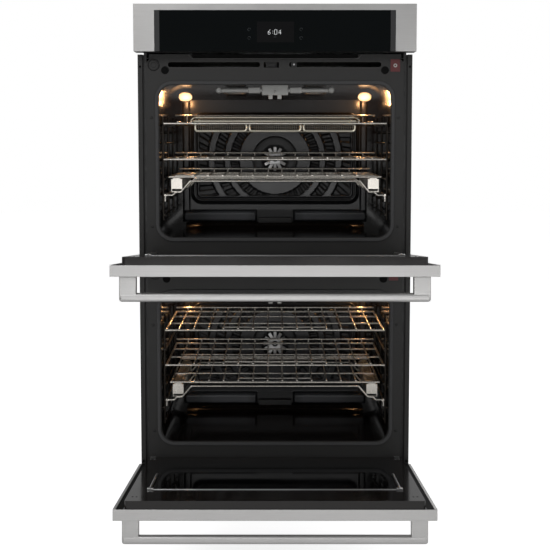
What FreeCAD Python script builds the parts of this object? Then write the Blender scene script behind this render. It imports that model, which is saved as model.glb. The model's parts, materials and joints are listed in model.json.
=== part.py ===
"""Double wall oven with drop-down doors, as a parametric FreeCAD document.

Millimetres. +Z up, the oven faces -Y. The plane Y = 0 is the cabinet's front face, and the origin is the
middle of the base in that plane. Each oven's parts are placed from its floor line, the lower edge of its
front opening. Door parts are drawn closed about their hinge pivot and placed open.
"""
import FreeCAD, Part
import math
import os
import re
import Sketcher

SIZES = [
    # overall
    ("chassis_width", 720), ("chassis_height", 1275), ("chassis_depth", 560), ("sheet_wall", 1.2),
    ("panel_width", "=chassis_width + 42"), ("panel_height", 127), ("panel_bottom", 1168), ("panel_proud", 58),
    # side trims
    ("trim_width", "=chassis_width + 31.4"), ("trim_face", 12.5), ("trim_height", 1163), ("trim_proud", 12),
    ("trim_web", 40), ("trim_screw_radius", 2.3), ("trim_screw_low", 30), ("trim_screw_pitch", 1100),
    # ovens
    ("lower_floor", 85.2), ("oven_pitch", 576), ("opening_width", 636), ("opening_height", 419),
    ("opening_radius", 37), ("frame_width", "=chassis_width - 12.2"), ("frame_proud", 6), ("frame_wall", 1.5),
    ("frame_below", 79.2), ("frame_above", 492.8), ("frame_radius", 22),
    ("cavity_depth", 410), ("cavity_wall", 1.5), ("cavity_margin", 5), ("cavity_radius", 42),
    ("insulation_wall", 35), ("insulation_front", 40), ("bake_gap", 13), ("motor_window", 220),
    ("deck_above", 491.6), ("gasket_width", 9), ("gasket_height", 5.7),
    # rear of the cavity
    ("cover_width", "=opening_width - 113"), ("cover_height", 282), ("cover_stand", 42), ("cover_radius", 34),
    ("fan_above", 209.5), ("cover_hole", 42), ("ledge_width", "=opening_width - 60"), ("ledge_low", 12),
    ("ledge_height", 38), ("ledge_stand", 24), ("back_plate_top", 391),
    ("fan_radius", 72), ("fan_blade", 24), ("shaft_radius", 4), ("shaft_play", 0.05),
    ("motor_radius", 42), ("motor_length", 62), ("ring_radius", 92), ("element_radius", 4),
    ("lamp_offset", "=opening_width / 2 - 41"), ("lamp_above", 406), ("lamp_width", 44), ("lamp_height", 28),
    # doors
    ("door_length", 540), ("door_edge", 26.5), ("door_thickness", 46), ("door_wall", 1.2),
    ("pivot_depth", 38), ("pivot_rise", 6), ("pivot_below", 51.2), ("door_open_angle", 85),
    ("liner_width", "=panel_width - 54"), ("liner_inset", 4), ("glass_width", 632), ("glass_low", 58),
    ("glass_high", 421), ("glass_wall", 4), ("window_width", 560), ("window_low", 112),
    ("window_high", 430), ("glass_lap", 10), ("door_play", 0.3),
    ("handle_length", 722), ("handle_stand", 58.5), ("handle_bar", 20.5), ("handle_post", 40),
    ("handle_inset", 10),
    # hinges
    ("hinge_offset", "=chassis_width / 2 - 17"), ("pin_radius", 4), ("pin_play", 0.05), ("leaf_wall", 6), ("cheek_wall", 2.5),
    ("cheek_gap", 9), ("cheek_radius", 5.5), ("leaf_radius", 7), ("leaf_length", 134),
    # racks
    ("rack_width", "=opening_width - 21"), ("rack_depth", "=cavity_depth - cover_stand - 29"), ("rack_front", 2), ("rack_wire", 3), ("slat_wire", 2),
    ("slat_pitch", "=(rack_width - 78.1) / 13"), ("guard_rise", 13), ("tray_guard_rise", 28), ("weld_sink", 0.6), ("seat_gap", 0.3),
    ("glide_level", 116), ("level_pitch", 49.5), ("glide_width", "=rack_width - 27"),
    ("rail_offset", "=rack_width / 2 - 35.5"), ("rail_width", 30), ("rail_low", 126), ("rail_height", 34), ("rail_wall", 1.5),
    ("glide_plane", "=rail_low + rail_height + 6.5"),
    ("tray_width", "=rack_width - 165"), ("tray_drop", 23), ("tray_rise", 18), ("tray_wall", 1),
    # latch and switch
    ("latch_offset", 10), ("latch_above", 473.8), ("latch_width", 20), ("latch_wall", 4),
    ("switch_offset", 52), ("switch_above", 475), ("switch_radius", 2.5),
    # controls and cooling
    ("glass_span", 650), ("fascia_border", 17), ("fascia_wall", 1.5), ("guide_height", 10),
    ("blower_radius", 70), ("blower_centre", 240), ("blower_height", 80), ("gland_radius", 11),
    ("gland_offset", 250), ("gland_height", 1220),
]

doc = FreeCAD.newDocument("wall_oven")
sheet = doc.addObject("Spreadsheet::Sheet", "Sizes")
for row, (alias, value) in enumerate(SIZES, 1):
    sheet.set(f"A{row}", alias)
    sheet.set(f"B{row}", str(value))
    sheet.setAlias(f"B{row}", alias)
doc.recompute()
ALIASES = {alias for alias, _ in SIZES}
PARTS = []

OVENS = {"upper": "(lower_floor + oven_pitch)", "lower": "lower_floor"}
FRAME_FRONT = "(-frame_proud)"
FRAME_BACK = "(-frame_proud + frame_wall)"
PANEL_FACE = "(-panel_proud)"
INNER_SIDE = "(chassis_width / 2 - sheet_wall)"
CAVITY_BACK = "(-frame_proud + frame_wall + cavity_depth)"
COVER_FACE = f"({CAVITY_BACK} - cover_stand)"
PIVOT_Y = "(pivot_depth - panel_proud)"
DECK_TOP = "(lower_floor + oven_pitch + deck_above + sheet_wall)"


def size(text):
    """Evaluates an expression on the sheet's values, for shapes that are drawn directly."""
    return sheet_value(linked(text))


def linked(text):
    """Writes an expression's bare words as cells of the sheet."""
    return re.sub(r"[a-z]+(?:_[a-z]+)*", lambda m: "Sizes." + m.group() if m.group() in ALIASES else m.group(),
                  str(text))


def sheet_value(text):
    """The number that an expression on the sheet comes to."""
    probe = doc.getObject("Probe") or doc.addObject("App::FeaturePython", "Probe")
    if "number" not in probe.PropertiesList:
        probe.addProperty("App::PropertyFloat", "number")
    probe.setExpression("number", text)
    probe.recompute()
    return probe.number


def bind(item, **expressions):
    """Binds properties to expressions. x, y and z set the place."""
    for name, text in expressions.items():
        path = f".Placement.Base.{name}" if name in "xyz" else name
        item.setExpression(path, linked(text))
    return item


def box(name, x0, x1, y0, y1, z0, z1):
    """A box between two corners."""
    item = doc.addObject("Part::Box", name)
    return bind(item, Length=f"({x1}) - ({x0})", Width=f"({y1}) - ({y0})", Height=f"({z1}) - ({z0})",
                x=x0, y=y0, z=z0)


AXES = {
    "x": FreeCAD.Rotation(FreeCAD.Vector(0, 1, 0), 90),
    "y": FreeCAD.Rotation(FreeCAD.Vector(1, 0, 0), -90),
    "z": FreeCAD.Rotation(),
}


def rod(name, radius, length, x, y, z, axis="z"):
    """A cylinder that starts at a point and runs along an axis."""
    item = doc.addObject("Part::Cylinder", name)
    item.Placement.Rotation = AXES[axis]
    return bind(item, Radius=radius, Height=length, x=x, y=y, z=z)


def fuse(name, pieces):
    """One solid from several."""
    item = doc.addObject("Part::MultiFuse", name)
    item.Shapes = pieces
    return item


def cut(name, base, tools):
    """A solid with others taken away."""
    item = doc.addObject("Part::Cut", name)
    item.Base = base
    item.Tool = tools[0] if len(tools) == 1 else fuse(name + "_tools", tools)
    return item


def group(name, pieces):
    """Separate solids that make one node."""
    item = doc.addObject("Part::Compound", name)
    item.Links = pieces
    return item


def part(item, name):
    """Marks an object as a sub-part."""
    item.Label = name
    PARTS.append(item)
    return item


def door_part(item, name, oven):
    """Marks a sub-part of a door, drawn about the pivot, and swings it open there."""
    item.Placement.Rotation = FreeCAD.Rotation(FreeCAD.Vector(1, 0, 0), 85)
    item.setExpression(".Placement.Rotation.Angle", linked("door_open_angle * 1 deg"))
    bind(item, y=PIVOT_Y, z=f"{OVENS[oven]} - pivot_below")
    return part(item, name)


def origin_plane(body, role):
    """A body's own origin plane or axis."""
    return next(f for f in body.Origin.OriginFeatures if f.Role == role)


def slab(name, width, height, radius, depth, x, y, z):
    """A rounded rectangle centred at X and Z, padded from Y towards the rear."""
    body = doc.addObject("PartDesign::Body", name)
    sketch = body.newObject("Sketcher::SketchObject", name + "_outline")
    sketch.AttachmentSupport = [(origin_plane(body, "XZ_Plane"), "")]
    sketch.MapMode = "FlatFace"
    w, h, r = size(width) / 2, size(height) / 2, size(radius)
    point = FreeCAD.Vector
    lines = [
        Part.LineSegment(point(-w + r, -h, 0), point(w - r, -h, 0)),
        Part.LineSegment(point(w, -h + r, 0), point(w, h - r, 0)),
        Part.LineSegment(point(w - r, h, 0), point(-w + r, h, 0)),
        Part.LineSegment(point(-w, h - r, 0), point(-w, -h + r, 0)),
    ]
    centres = [(w - r, -h + r, 270), (w - r, h - r, 0), (-w + r, h - r, 90), (-w + r, -h + r, 180)]
    arcs = [
        Part.ArcOfCircle(Part.Circle(point(cx, cz, 0), point(0, 0, 1), r),
                         math.radians(start), math.radians(start + 90))
        for cx, cz, start in centres
    ]
    sketch.addGeometry(lines + arcs, False)
    rules = []
    for i in range(4):
        rules.append(Sketcher.Constraint("Tangent", i, 2, 4 + i, 1))
        rules.append(Sketcher.Constraint("Tangent", 4 + i, 2, (i + 1) % 4, 1))
    rules += [Sketcher.Constraint("Horizontal", 0), Sketcher.Constraint("Vertical", 1),
              Sketcher.Constraint("Horizontal", 2), Sketcher.Constraint("Vertical", 3)]
    rules += [Sketcher.Constraint("Equal", 4, i) for i in (5, 6, 7)]
    rules.append(Sketcher.Constraint("Symmetric", 0, 1, 2, 1, -1, 1))
    for rule in rules:
        sketch.addConstraint(rule)
    driven = [
        ("corner", Sketcher.Constraint("Radius", 4, r), radius),
        ("wide", Sketcher.Constraint("DistanceX", 3, 1, 1, 1, 2 * w), width),
        ("tall", Sketcher.Constraint("DistanceY", 0, 1, 2, 1, 2 * h), height),
    ]
    for label, rule, text in driven:
        index = sketch.addConstraint(rule)
        sketch.renameConstraint(index, label)
        sketch.setExpression(f".Constraints.{label}", linked(text))
    pad = body.newObject("PartDesign::Pad", name + "_pad")
    pad.Profile = sketch
    pad.Reversed = True
    bind(pad, Length=depth)
    body.Tip = pad
    sketch.Visibility = False
    return bind(body, x=x, y=y, z=z)


def bent_wire(name, points, radius):
    """Round wire bent along a flat path, with rounded bends."""
    corners = [FreeCAD.Vector(*p) for p in points]
    bend = 3 * radius
    edges = []
    start = corners[0]
    for before, corner, after in zip(corners, corners[1:], corners[2:]):
        inward = (before - corner).normalize()
        onward = (after - corner).normalize()
        half_turn = (math.pi - inward.getAngle(onward)) / 2
        reach = min(bend * math.tan(half_turn), 0.45 * min((before - corner).Length, (after - corner).Length))
        round_radius = reach / math.tan(half_turn)
        middle = corner + (inward + onward).normalize() * (round_radius / math.cos(half_turn) - round_radius)
        first, last = corner + inward * reach, corner + onward * reach
        edges.append(Part.LineSegment(start, first).toShape())
        edges.append(Part.Arc(first, middle, last).toShape())
        start = last
    edges.append(Part.LineSegment(start, corners[-1]).toShape())
    path = Part.Wire(edges)
    section = Part.Wire([Part.makeCircle(radius, corners[0], corners[1] - corners[0])])
    item = doc.addObject("Part::Feature", name)
    item.Shape = path.makePipeShell([section], True, False)
    return item


def bladed_wheel(name, blades, blade_length, blade_inner, blade_wall, radius, disc, lift):
    """A wheel about Y: a disc with flat blades round it. The disc's rear face is at Y = 0."""
    body = doc.addObject("PartDesign::Body", name)
    disc_sketch = body.newObject("Sketcher::SketchObject", name + "_disc_outline")
    disc_sketch.AttachmentSupport = [(origin_plane(body, "XZ_Plane"), "")]
    disc_sketch.MapMode = "FlatFace"
    disc_sketch.addGeometry(Part.Circle(FreeCAD.Vector(), FreeCAD.Vector(0, 0, 1), size(radius)), False)
    disc_sketch.addConstraint(Sketcher.Constraint("Coincident", 0, 3, -1, 1))
    index = disc_sketch.addConstraint(Sketcher.Constraint("Radius", 0, size(radius)))
    disc_sketch.renameConstraint(index, "reach")
    disc_sketch.setExpression(".Constraints.reach", linked(radius))
    plate = body.newObject("PartDesign::Pad", name + "_disc")
    plate.Profile = disc_sketch
    bind(plate, Length=disc)
    doc.recompute()
    sketch = body.newObject("Sketcher::SketchObject", name + "_blade_outline")
    sketch.AttachmentSupport = [(origin_plane(body, "XZ_Plane"), "")]
    sketch.MapMode = "FlatFace"
    x0, x1, t = size(blade_inner), size(radius), size(blade_wall) / 2
    corners = [FreeCAD.Vector(x0, -t, 0), FreeCAD.Vector(x1, -t, 0), FreeCAD.Vector(x1, t, 0),
               FreeCAD.Vector(x0, t, 0)]
    sketch.addGeometry([Part.LineSegment(corners[i], corners[(i + 1) % 4]) for i in range(4)], False)
    rules = [Sketcher.Constraint("Coincident", i, 2, (i + 1) % 4, 1) for i in range(4)]
    rules += [Sketcher.Constraint("Horizontal", 0), Sketcher.Constraint("Horizontal", 2),
              Sketcher.Constraint("Vertical", 1),
              Sketcher.Constraint("Symmetric", 0, 1, 2, 2, -1)]
    for rule in rules:
        sketch.addConstraint(rule)
    driven = [
        ("inner", Sketcher.Constraint("DistanceX", -1, 1, 0, 1, x0), blade_inner),
        ("outer", Sketcher.Constraint("DistanceX", -1, 1, 0, 2, x1), f"{radius} - 0.5"),
        ("wall", Sketcher.Constraint("DistanceY", 1, 1, 1, 2, 2 * t), blade_wall),
    ]
    for label, rule, text in driven:
        index = sketch.addConstraint(rule)
        sketch.renameConstraint(index, label)
        sketch.setExpression(f".Constraints.{label}", linked(text))
    blade = body.newObject("PartDesign::Pad", name + "_blade")
    blade.Profile = sketch
    bind(blade, Length=f"{disc} + {lift}")
    doc.recompute()
    ring = body.newObject("PartDesign::PolarPattern", name + "_ring")
    ring.Originals = [blade]
    ring.Axis = (origin_plane(body, "Y_Axis"), [""])
    ring.Angle = 360
    ring.Occurrences = blades
    body.Tip = ring
    return body


# ---------------------------------------------------------------- chassis
def chassis():
    sides = []
    for name, sign in (("left", "-1"), ("right", "1")):
        wall = box(f"{name}_wall", f"{sign} * chassis_width / 2 - {'0' if sign == '-1' else '1'} * sheet_wall",
                   f"{sign} * chassis_width / 2 + {'1' if sign == '-1' else '0'} * sheet_wall",
                   "0", "chassis_depth", "0", "chassis_height")
        edge = "(frame_width / 2 - frame_wall + 0.2)"
        low, high = (edge, INNER_SIDE) if sign == "1" else (f"-{INNER_SIDE}", f"-{edge}")
        lip = box(f"{name}_lip", low, high, "0", "sheet_wall", "0", "chassis_height")
        sides.append(fuse(f"{name}_side", [wall, lip]))
    part(group("sides", sides), "side_panels")

    span = (f"-{INNER_SIDE}", INNER_SIDE)
    part(box("top", *span, "sheet_wall", "chassis_depth", "chassis_height - sheet_wall", "chassis_height"),
         "top_cover")
    floor = box("base_floor", *span, "sheet_wall", "chassis_depth - sheet_wall", "0", "sheet_wall")
    tongue = box("base_tongue", "-(frame_width / 2 - frame_wall)", "frame_width / 2 - frame_wall", FRAME_FRONT,
                 "sheet_wall", "0", "sheet_wall")
    lip = box("base_lip", "-(frame_width / 2 - frame_wall)", "frame_width / 2 - frame_wall", FRAME_FRONT,
              FRAME_BACK, "0", "lower_floor - frame_below")
    part(fuse("base", [floor, tongue, lip]), "base_pan")

    rear = box("rear_sheet", *span, "chassis_depth - sheet_wall", "chassis_depth", "0",
               "chassis_height - sheet_wall")
    slots = []
    for row in range(6):
        for column in (-1, 1):
            slots.append(box(f"louvre_{row}_{column + 1}", f"{column} * 150 - 60", f"{column} * 150 + 60",
                             "chassis_depth - 3", "chassis_depth + 3", f"1000 + {row} * 16",
                             f"1006 + {row} * 16"))
    slots.append(rod("gland_hole", "gland_radius + 2", "8", "gland_offset", "chassis_depth - 4",
                     "gland_height", "y"))
    part(cut("rear", rear, slots), "rear_panel")

    tube = rod("gland_tube", "gland_radius + 2", "20", "gland_offset", "chassis_depth - 8", "gland_height", "y")
    collar = rod("gland_collar", "gland_radius + 7", "4", "gland_offset", "chassis_depth", "gland_height", "y")
    bore = rod("gland_bore", "gland_radius", "24", "gland_offset", "chassis_depth - 10", "gland_height", "y")
    part(cut("gland", fuse("gland_body", [tube, collar]), [bore]), "conduit_gland")


def deck(oven, name):
    """A sheet over an oven, with the guides of its latch bolt and door switch hanging from it."""
    base = OVENS[oven]
    under = f"({base} + deck_above)"
    plate = box(f"{name}_plate", f"-{INNER_SIDE}", INNER_SIDE, "sheet_wall", "chassis_depth - sheet_wall",
                under, f"{under} + sheet_wall")
    latch_z = f"({base} + latch_above)"
    latch_guide = box(f"{name}_latch_guide", "-latch_offset - latch_width / 2 - 5",
                      "-latch_offset + latch_width / 2 + 5", "10", "50", f"{latch_z} - latch_wall / 2 - 4", under)
    latch_way = box(f"{name}_latch_way", "-latch_offset - latch_width / 2 - seat_gap",
                    "-latch_offset + latch_width / 2 + seat_gap", "5", "55",
                    f"{latch_z} - latch_wall / 2 - seat_gap", f"{latch_z} + latch_wall / 2 + seat_gap")
    switch_z = f"({base} + switch_above)"
    switch_guide = box(f"{name}_switch_guide", "switch_offset - 8", "switch_offset + 8", "5", "25",
                       f"{switch_z} - 7", under)
    switch_way = rod(f"{name}_switch_way", "switch_radius + shaft_play", "30", "switch_offset", "0", switch_z, "y")
    body = fuse(f"{name}_body", [plate, latch_guide, switch_guide])
    part(cut(name, body, [latch_way, switch_way]), name)


def side_trims():
    """Two folded columns that stand on the cabinet's face, with screw holes through their faces."""
    columns = []
    for name, sign in (("left", -1), ("right", 1)):
        def at(low, high):
            return (low, high) if sign == 1 else (f"-({high})", f"-({low})")
        outer = "trim_width / 2"
        inner = "(trim_width / 2 - trim_face)"
        top = ("0", "trim_height")
        face = box(f"{name}_face", *at(inner, outer), "-trim_proud", "-trim_proud + sheet_wall", *top)
        rim = box(f"{name}_rim", *at(f"{outer} - sheet_wall", outer), "-trim_proud", "0", *top)
        fold = box(f"{name}_fold", *at(inner, f"{inner} + sheet_wall"), "-trim_proud", "0", *top)
        leg = box(f"{name}_leg", *at("chassis_width / 2", f"{inner} + sheet_wall"), "-sheet_wall", "0", *top)
        web = box(f"{name}_web", *at("chassis_width / 2", "chassis_width / 2 + sheet_wall"), "-sheet_wall",
                  "trim_web", *top)
        screws = [
            rod(f"{name}_screw_{i}", "trim_screw_radius", "6", f"{sign} * (trim_width / 2 - trim_face / 2)",
                "-trim_proud - 2", f"trim_screw_low + {i} * trim_screw_pitch", "y")
            for i in range(2)
        ]
        columns.append(cut(f"{name}_column", fuse(f"{name}_folds", [face, rim, fold, leg, web]), screws))
    part(group("trims", columns), "side_trims")


# ---------------------------------------------------------------- controls and cooling
def controls():
    half = "panel_width / 2"
    top = "(panel_bottom + panel_height)"
    outer = box("fascia_outer", f"-{half}", half, PANEL_FACE, "0", "panel_bottom", top)
    hollow = box("fascia_hollow", f"-{half} + fascia_wall", f"{half} - fascia_wall",
                 f"{PANEL_FACE} + fascia_wall", "1", "panel_bottom - 1", f"{top} - fascia_wall")
    window = box("fascia_window", "-glass_span / 2", "glass_span / 2", f"{PANEL_FACE} - 1",
                 f"{PANEL_FACE} + 3", "panel_bottom - 1", f"{top} - fascia_border")
    part(cut("fascia", outer, [hollow, window]), "control_fascia")

    glass_back = f"{PANEL_FACE} + 0.5 + glass_wall"
    part(box("glass_panel", "-glass_span / 2", "glass_span / 2", f"{PANEL_FACE} + 0.5", glass_back,
             "panel_bottom", f"{top} - fascia_border"), "control_glass")

    tray = box("tray_plate", f"-{half} + fascia_wall", f"{half} - fascia_wall", glass_back, "0",
               "panel_bottom", "panel_bottom + sheet_wall")
    part(tray, "control_tray")

    board = box("board_box", "-150", "150", "-45", "-20", "panel_bottom + sheet_wall", f"{top} - 33")
    display = box("display_box", "-50", "50", glass_back, "-44", f"{top} - 90", f"{top} - 60")
    part(fuse("board", [board, display]), "control_board")

    guide_top = f"({DECK_TOP} + guide_height)"
    shell = box("guide_shell", "-345", "345", FRAME_FRONT, "blower_centre - 100", DECK_TOP, guide_top)
    mouth = slab("guide_mouth", "450", "guide_height - 3", "3", "blower_centre + 10", "0",
                 f"{FRAME_FRONT} - 2", f"{DECK_TOP} + guide_height / 2")
    part(cut("guide", shell, [mouth]), "air_guide")

    low = DECK_TOP
    high = f"({DECK_TOP} + blower_height)"
    case = box("case_outer", "-100", "100", "blower_centre - 100", "blower_centre + 100", low, high)
    room = rod("case_room", "blower_radius + 12", f"blower_height - 4", "0", "blower_centre", f"{low} + 2")
    outlet = box("case_outlet", "-60", "60", "blower_centre - 101", "blower_centre", f"{low} + 2", f"{low} + 8")
    holes = [
        rod(f"inlet_{i}", "16", "10", f"{round(44 * math.cos(i * math.pi / 3), 3)}",
            f"blower_centre + {round(44 * math.sin(i * math.pi / 3), 3)}", f"{high} - 5")
        for i in range(6)
    ]
    motor = rod("case_motor", "24", "30", "0", "blower_centre", high)
    bearing = rod("case_bearing", "shaft_radius + shaft_play", "24", "0", "blower_centre", f"{high} - 5")
    opened = cut("case_opened", case, [room, outlet] + holes)
    part(cut("case", fuse("case_body", [opened, motor]), [bearing]), "blower_housing")

    disc = rod("wheel_disc", "blower_radius", "3", "0", "blower_centre", f"{low} + 8")
    spindle = rod("wheel_spindle", "shaft_radius", "blower_height + 6", "0", "blower_centre", f"{low} + 8")
    blades = []
    for i in range(20):
        blade = box(f"wheel_blade_{i}", "0", "14", "0", "1.5", f"{low} + 10.5", f"{high} - 20")
        angle = 18 * i
        cosine, sine = math.cos(math.radians(angle)), math.sin(math.radians(angle))
        blade.Placement.Rotation = FreeCAD.Rotation(FreeCAD.Vector(0, 0, 1), angle)
        bind(blade, x=f"(blower_radius - 15) * {cosine:.6f}", y=f"blower_centre + (blower_radius - 15) * {sine:.6f}")
        blades.append(blade)
    part(fuse("wheel", [disc, spindle] + blades), "blower_wheel")


# ---------------------------------------------------------------- one oven's fixed parts
def front_frame(oven):
    base = OVENS[oven]
    tall = "(frame_above + frame_below)"
    middle = f"({base} + (frame_above - frame_below) / 2)"
    outer = slab(f"{oven}_frame_outer", "frame_width", tall, "frame_radius", "frame_proud", "0", FRAME_FRONT,
                 middle)
    hollow = slab(f"{oven}_frame_hollow", "frame_width - 2 * frame_wall", f"{tall} - 2 * frame_wall",
                  "frame_radius - frame_wall", "frame_proud", "0", FRAME_BACK, middle)
    opening = slab(f"{oven}_frame_opening", "opening_width", "opening_height", "opening_radius", "20", "0",
                   f"{FRAME_FRONT} - 5", f"{base} + opening_height / 2")
    slots = [
        slab(f"{oven}_slot_left", "252", "13.4", "6", "20", "-167", "-15", f"{base} + 474.8"),
        slab(f"{oven}_slot_right", "252", "13.4", "6", "20", "165", "-15", f"{base} + 474.8"),
        slab(f"{oven}_slot_latch", "42", "15", "3", "20", "-latch_offset", "-15", f"{base} + latch_above"),
        rod(f"{oven}_peep_left", "9", "20", "-301.5", "-15", f"{base} + 459.5", "y"),
        rod(f"{oven}_peep_right", "9", "20", "301.5", "-15", f"{base} + 459.5", "y"),
    ]
    for name, sign in (("left", -1), ("right", 1)):
        middle_x = f"{sign} * hinge_offset"
        slots.append(box(f"{oven}_hinge_slot_{name}", f"{middle_x} - cheek_gap / 2 - cheek_wall - 0.5",
                         f"{middle_x} + cheek_gap / 2 + cheek_wall + 0.5", "-15", "5",
                         f"{base} - pivot_below - cheek_radius - 1", f"{base} - pivot_below + cheek_radius + 1"))
    part(cut(f"{oven}_frame", outer, [hollow, opening] + slots), f"{oven}_front_frame")

    ring = slab(f"{oven}_gasket_outer", "opening_width + 4 + 2 * gasket_width",
                "opening_height + 4 + 2 * gasket_width", "opening_radius + 2 + gasket_width", "gasket_height",
                "0", f"{FRAME_FRONT} - gasket_height", f"{base} + opening_height / 2")
    hole = slab(f"{oven}_gasket_inner", "opening_width + 4", "opening_height + 4", "opening_radius + 2", "20",
                "0", f"{FRAME_FRONT} - 10", f"{base} + opening_height / 2")
    part(cut(f"{oven}_seal", ring, [hole]), f"{oven}_door_gasket")


def cavity(oven):
    base = OVENS[oven]
    middle = f"({base} + opening_height / 2)"
    high = "(opening_height + 2 * cavity_margin)"
    outer = slab(f"{oven}_tub_outer", "opening_width + 2 * cavity_wall", f"{high} + 2 * cavity_wall",
                 "cavity_radius + cavity_wall", "cavity_depth + cavity_wall", "0", FRAME_BACK, middle)
    inner = slab(f"{oven}_tub_inner", "opening_width", high, "cavity_radius", "cavity_depth + 5", "0",
                 f"{FRAME_BACK} - 5", middle)
    shaft = rod(f"{oven}_tub_shaft_hole", "shaft_radius + 3", "20", "0", f"{CAVITY_BACK} - 5",
                f"{base} + fan_above", "y")
    legs = [
        rod(f"{oven}_tub_leg_hole_{i}", "element_radius + 1", "20", f"{x}", f"{CAVITY_BACK} - 5",
            f"{base} + fan_above - ring_radius + 0.5", "y")
        for i, x in enumerate((-14, 14))
    ]
    part(cut(f"{oven}_tub", outer, [inner, shaft] + legs), f"{oven}_cavity")


def fan_cover(oven):
    """Back plate with the raised fan cover and the lower duct ledge, and its central inlet."""
    base = OVENS[oven]
    fan_z = f"({base} + fan_above)"
    plate = slab(f"{oven}_back_plate", "ledge_width", "back_plate_top - ledge_low", "20", "sheet_wall", "0",
                 f"{CAVITY_BACK} - sheet_wall", f"{base} + (back_plate_top + ledge_low) / 2")
    dome = slab(f"{oven}_dome", "cover_width", "cover_height", "cover_radius", "cover_stand", "0", COVER_FACE,
                fan_z)
    ledge = slab(f"{oven}_ledge", "ledge_width", "ledge_height", "14", "ledge_stand", "0",
                 f"{CAVITY_BACK} - ledge_stand", f"{base} + ledge_low + ledge_height / 2")
    room = slab(f"{oven}_dome_room", "cover_width - 2 * sheet_wall", "cover_height - 2 * sheet_wall",
                "cover_radius - sheet_wall", "cover_stand + 5", "0", f"{COVER_FACE} + sheet_wall", fan_z)
    duct = slab(f"{oven}_ledge_room", "ledge_width - 2 * sheet_wall", "ledge_height - 2 * sheet_wall", "12",
                "ledge_stand + 5", "0", f"{CAVITY_BACK} - ledge_stand + sheet_wall",
                f"{base} + ledge_low + ledge_height / 2")
    inlet = rod(f"{oven}_inlet", "cover_hole", "10", "0", f"{COVER_FACE} - 5", fan_z, "y")
    outlets = []
    for side in (-1, 1):
        for row in range(-4, 5):
            outlets.append(box(f"{oven}_outlet_{side + 1}_{row + 4}", f"{side} * cover_width / 2 - 3",
                               f"{side} * cover_width / 2 + 3", f"{COVER_FACE} + 10", f"{COVER_FACE} + 32",
                               f"{fan_z} + {row} * 22 - 6", f"{fan_z} + {row} * 22 + 6"))
    screws = [
        rod(f"{oven}_cover_screw_hole_{i}", "2", "12", f"{sx} * (ledge_width / 2 - 12)", f"{CAVITY_BACK} - 6",
            f"{fan_z} + {sz} * 120", "y")
        for i, (sx, sz) in enumerate(((-1, -1), (-1, 1), (1, -1), (1, 1)))
    ]
    shell = fuse(f"{oven}_cover_shell", [plate, dome, ledge])
    part(cut(f"{oven}_cover", shell, [room, duct, inlet] + outlets + screws), f"{oven}_fan_cover")


def cover_screws():
    screws = []
    for oven, base in OVENS.items():
        for i, (sx, sz) in enumerate(((-1, -1), (-1, 1), (1, -1), (1, 1))):
            place = (f"{sx} * (ledge_width / 2 - 12)", f"{base} + fan_above + {sz} * 120")
            head = rod(f"{oven}_screw_head_{i}", "4.5", "2", place[0], f"{CAVITY_BACK} - sheet_wall - 2",
                       place[1], "y")
            shank = rod(f"{oven}_screw_shank_{i}", "2", "sheet_wall + 0.5", place[0],
                        f"{CAVITY_BACK} - sheet_wall - 0.5", place[1], "y")
            screws.append(fuse(f"{oven}_screw_{i}", [head, shank]))
    part(group("cover_screw_set", screws), "cover_screws")


def fan_wheel(oven):
    base = OVENS[oven]
    rotor = bladed_wheel(f"{oven}_rotor", 16, "fan_blade", "fan_radius - 34", "1.5", "fan_radius", "1.5",
                         "fan_blade")
    bind(rotor, y=f"{CAVITY_BACK} - 8", z=f"{base} + fan_above")
    hub = rod(f"{oven}_hub", "12", "fan_blade + 4", "0", f"{CAVITY_BACK} - 8 - fan_blade - 4",
              f"{base} + fan_above", "y")
    shaft = rod(f"{oven}_shaft", "shaft_radius", "60", "0", f"{CAVITY_BACK} - 9", f"{base} + fan_above", "y")
    part(fuse(f"{oven}_fan", [rotor, hub, shaft]), f"{oven}_fan_wheel")


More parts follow.
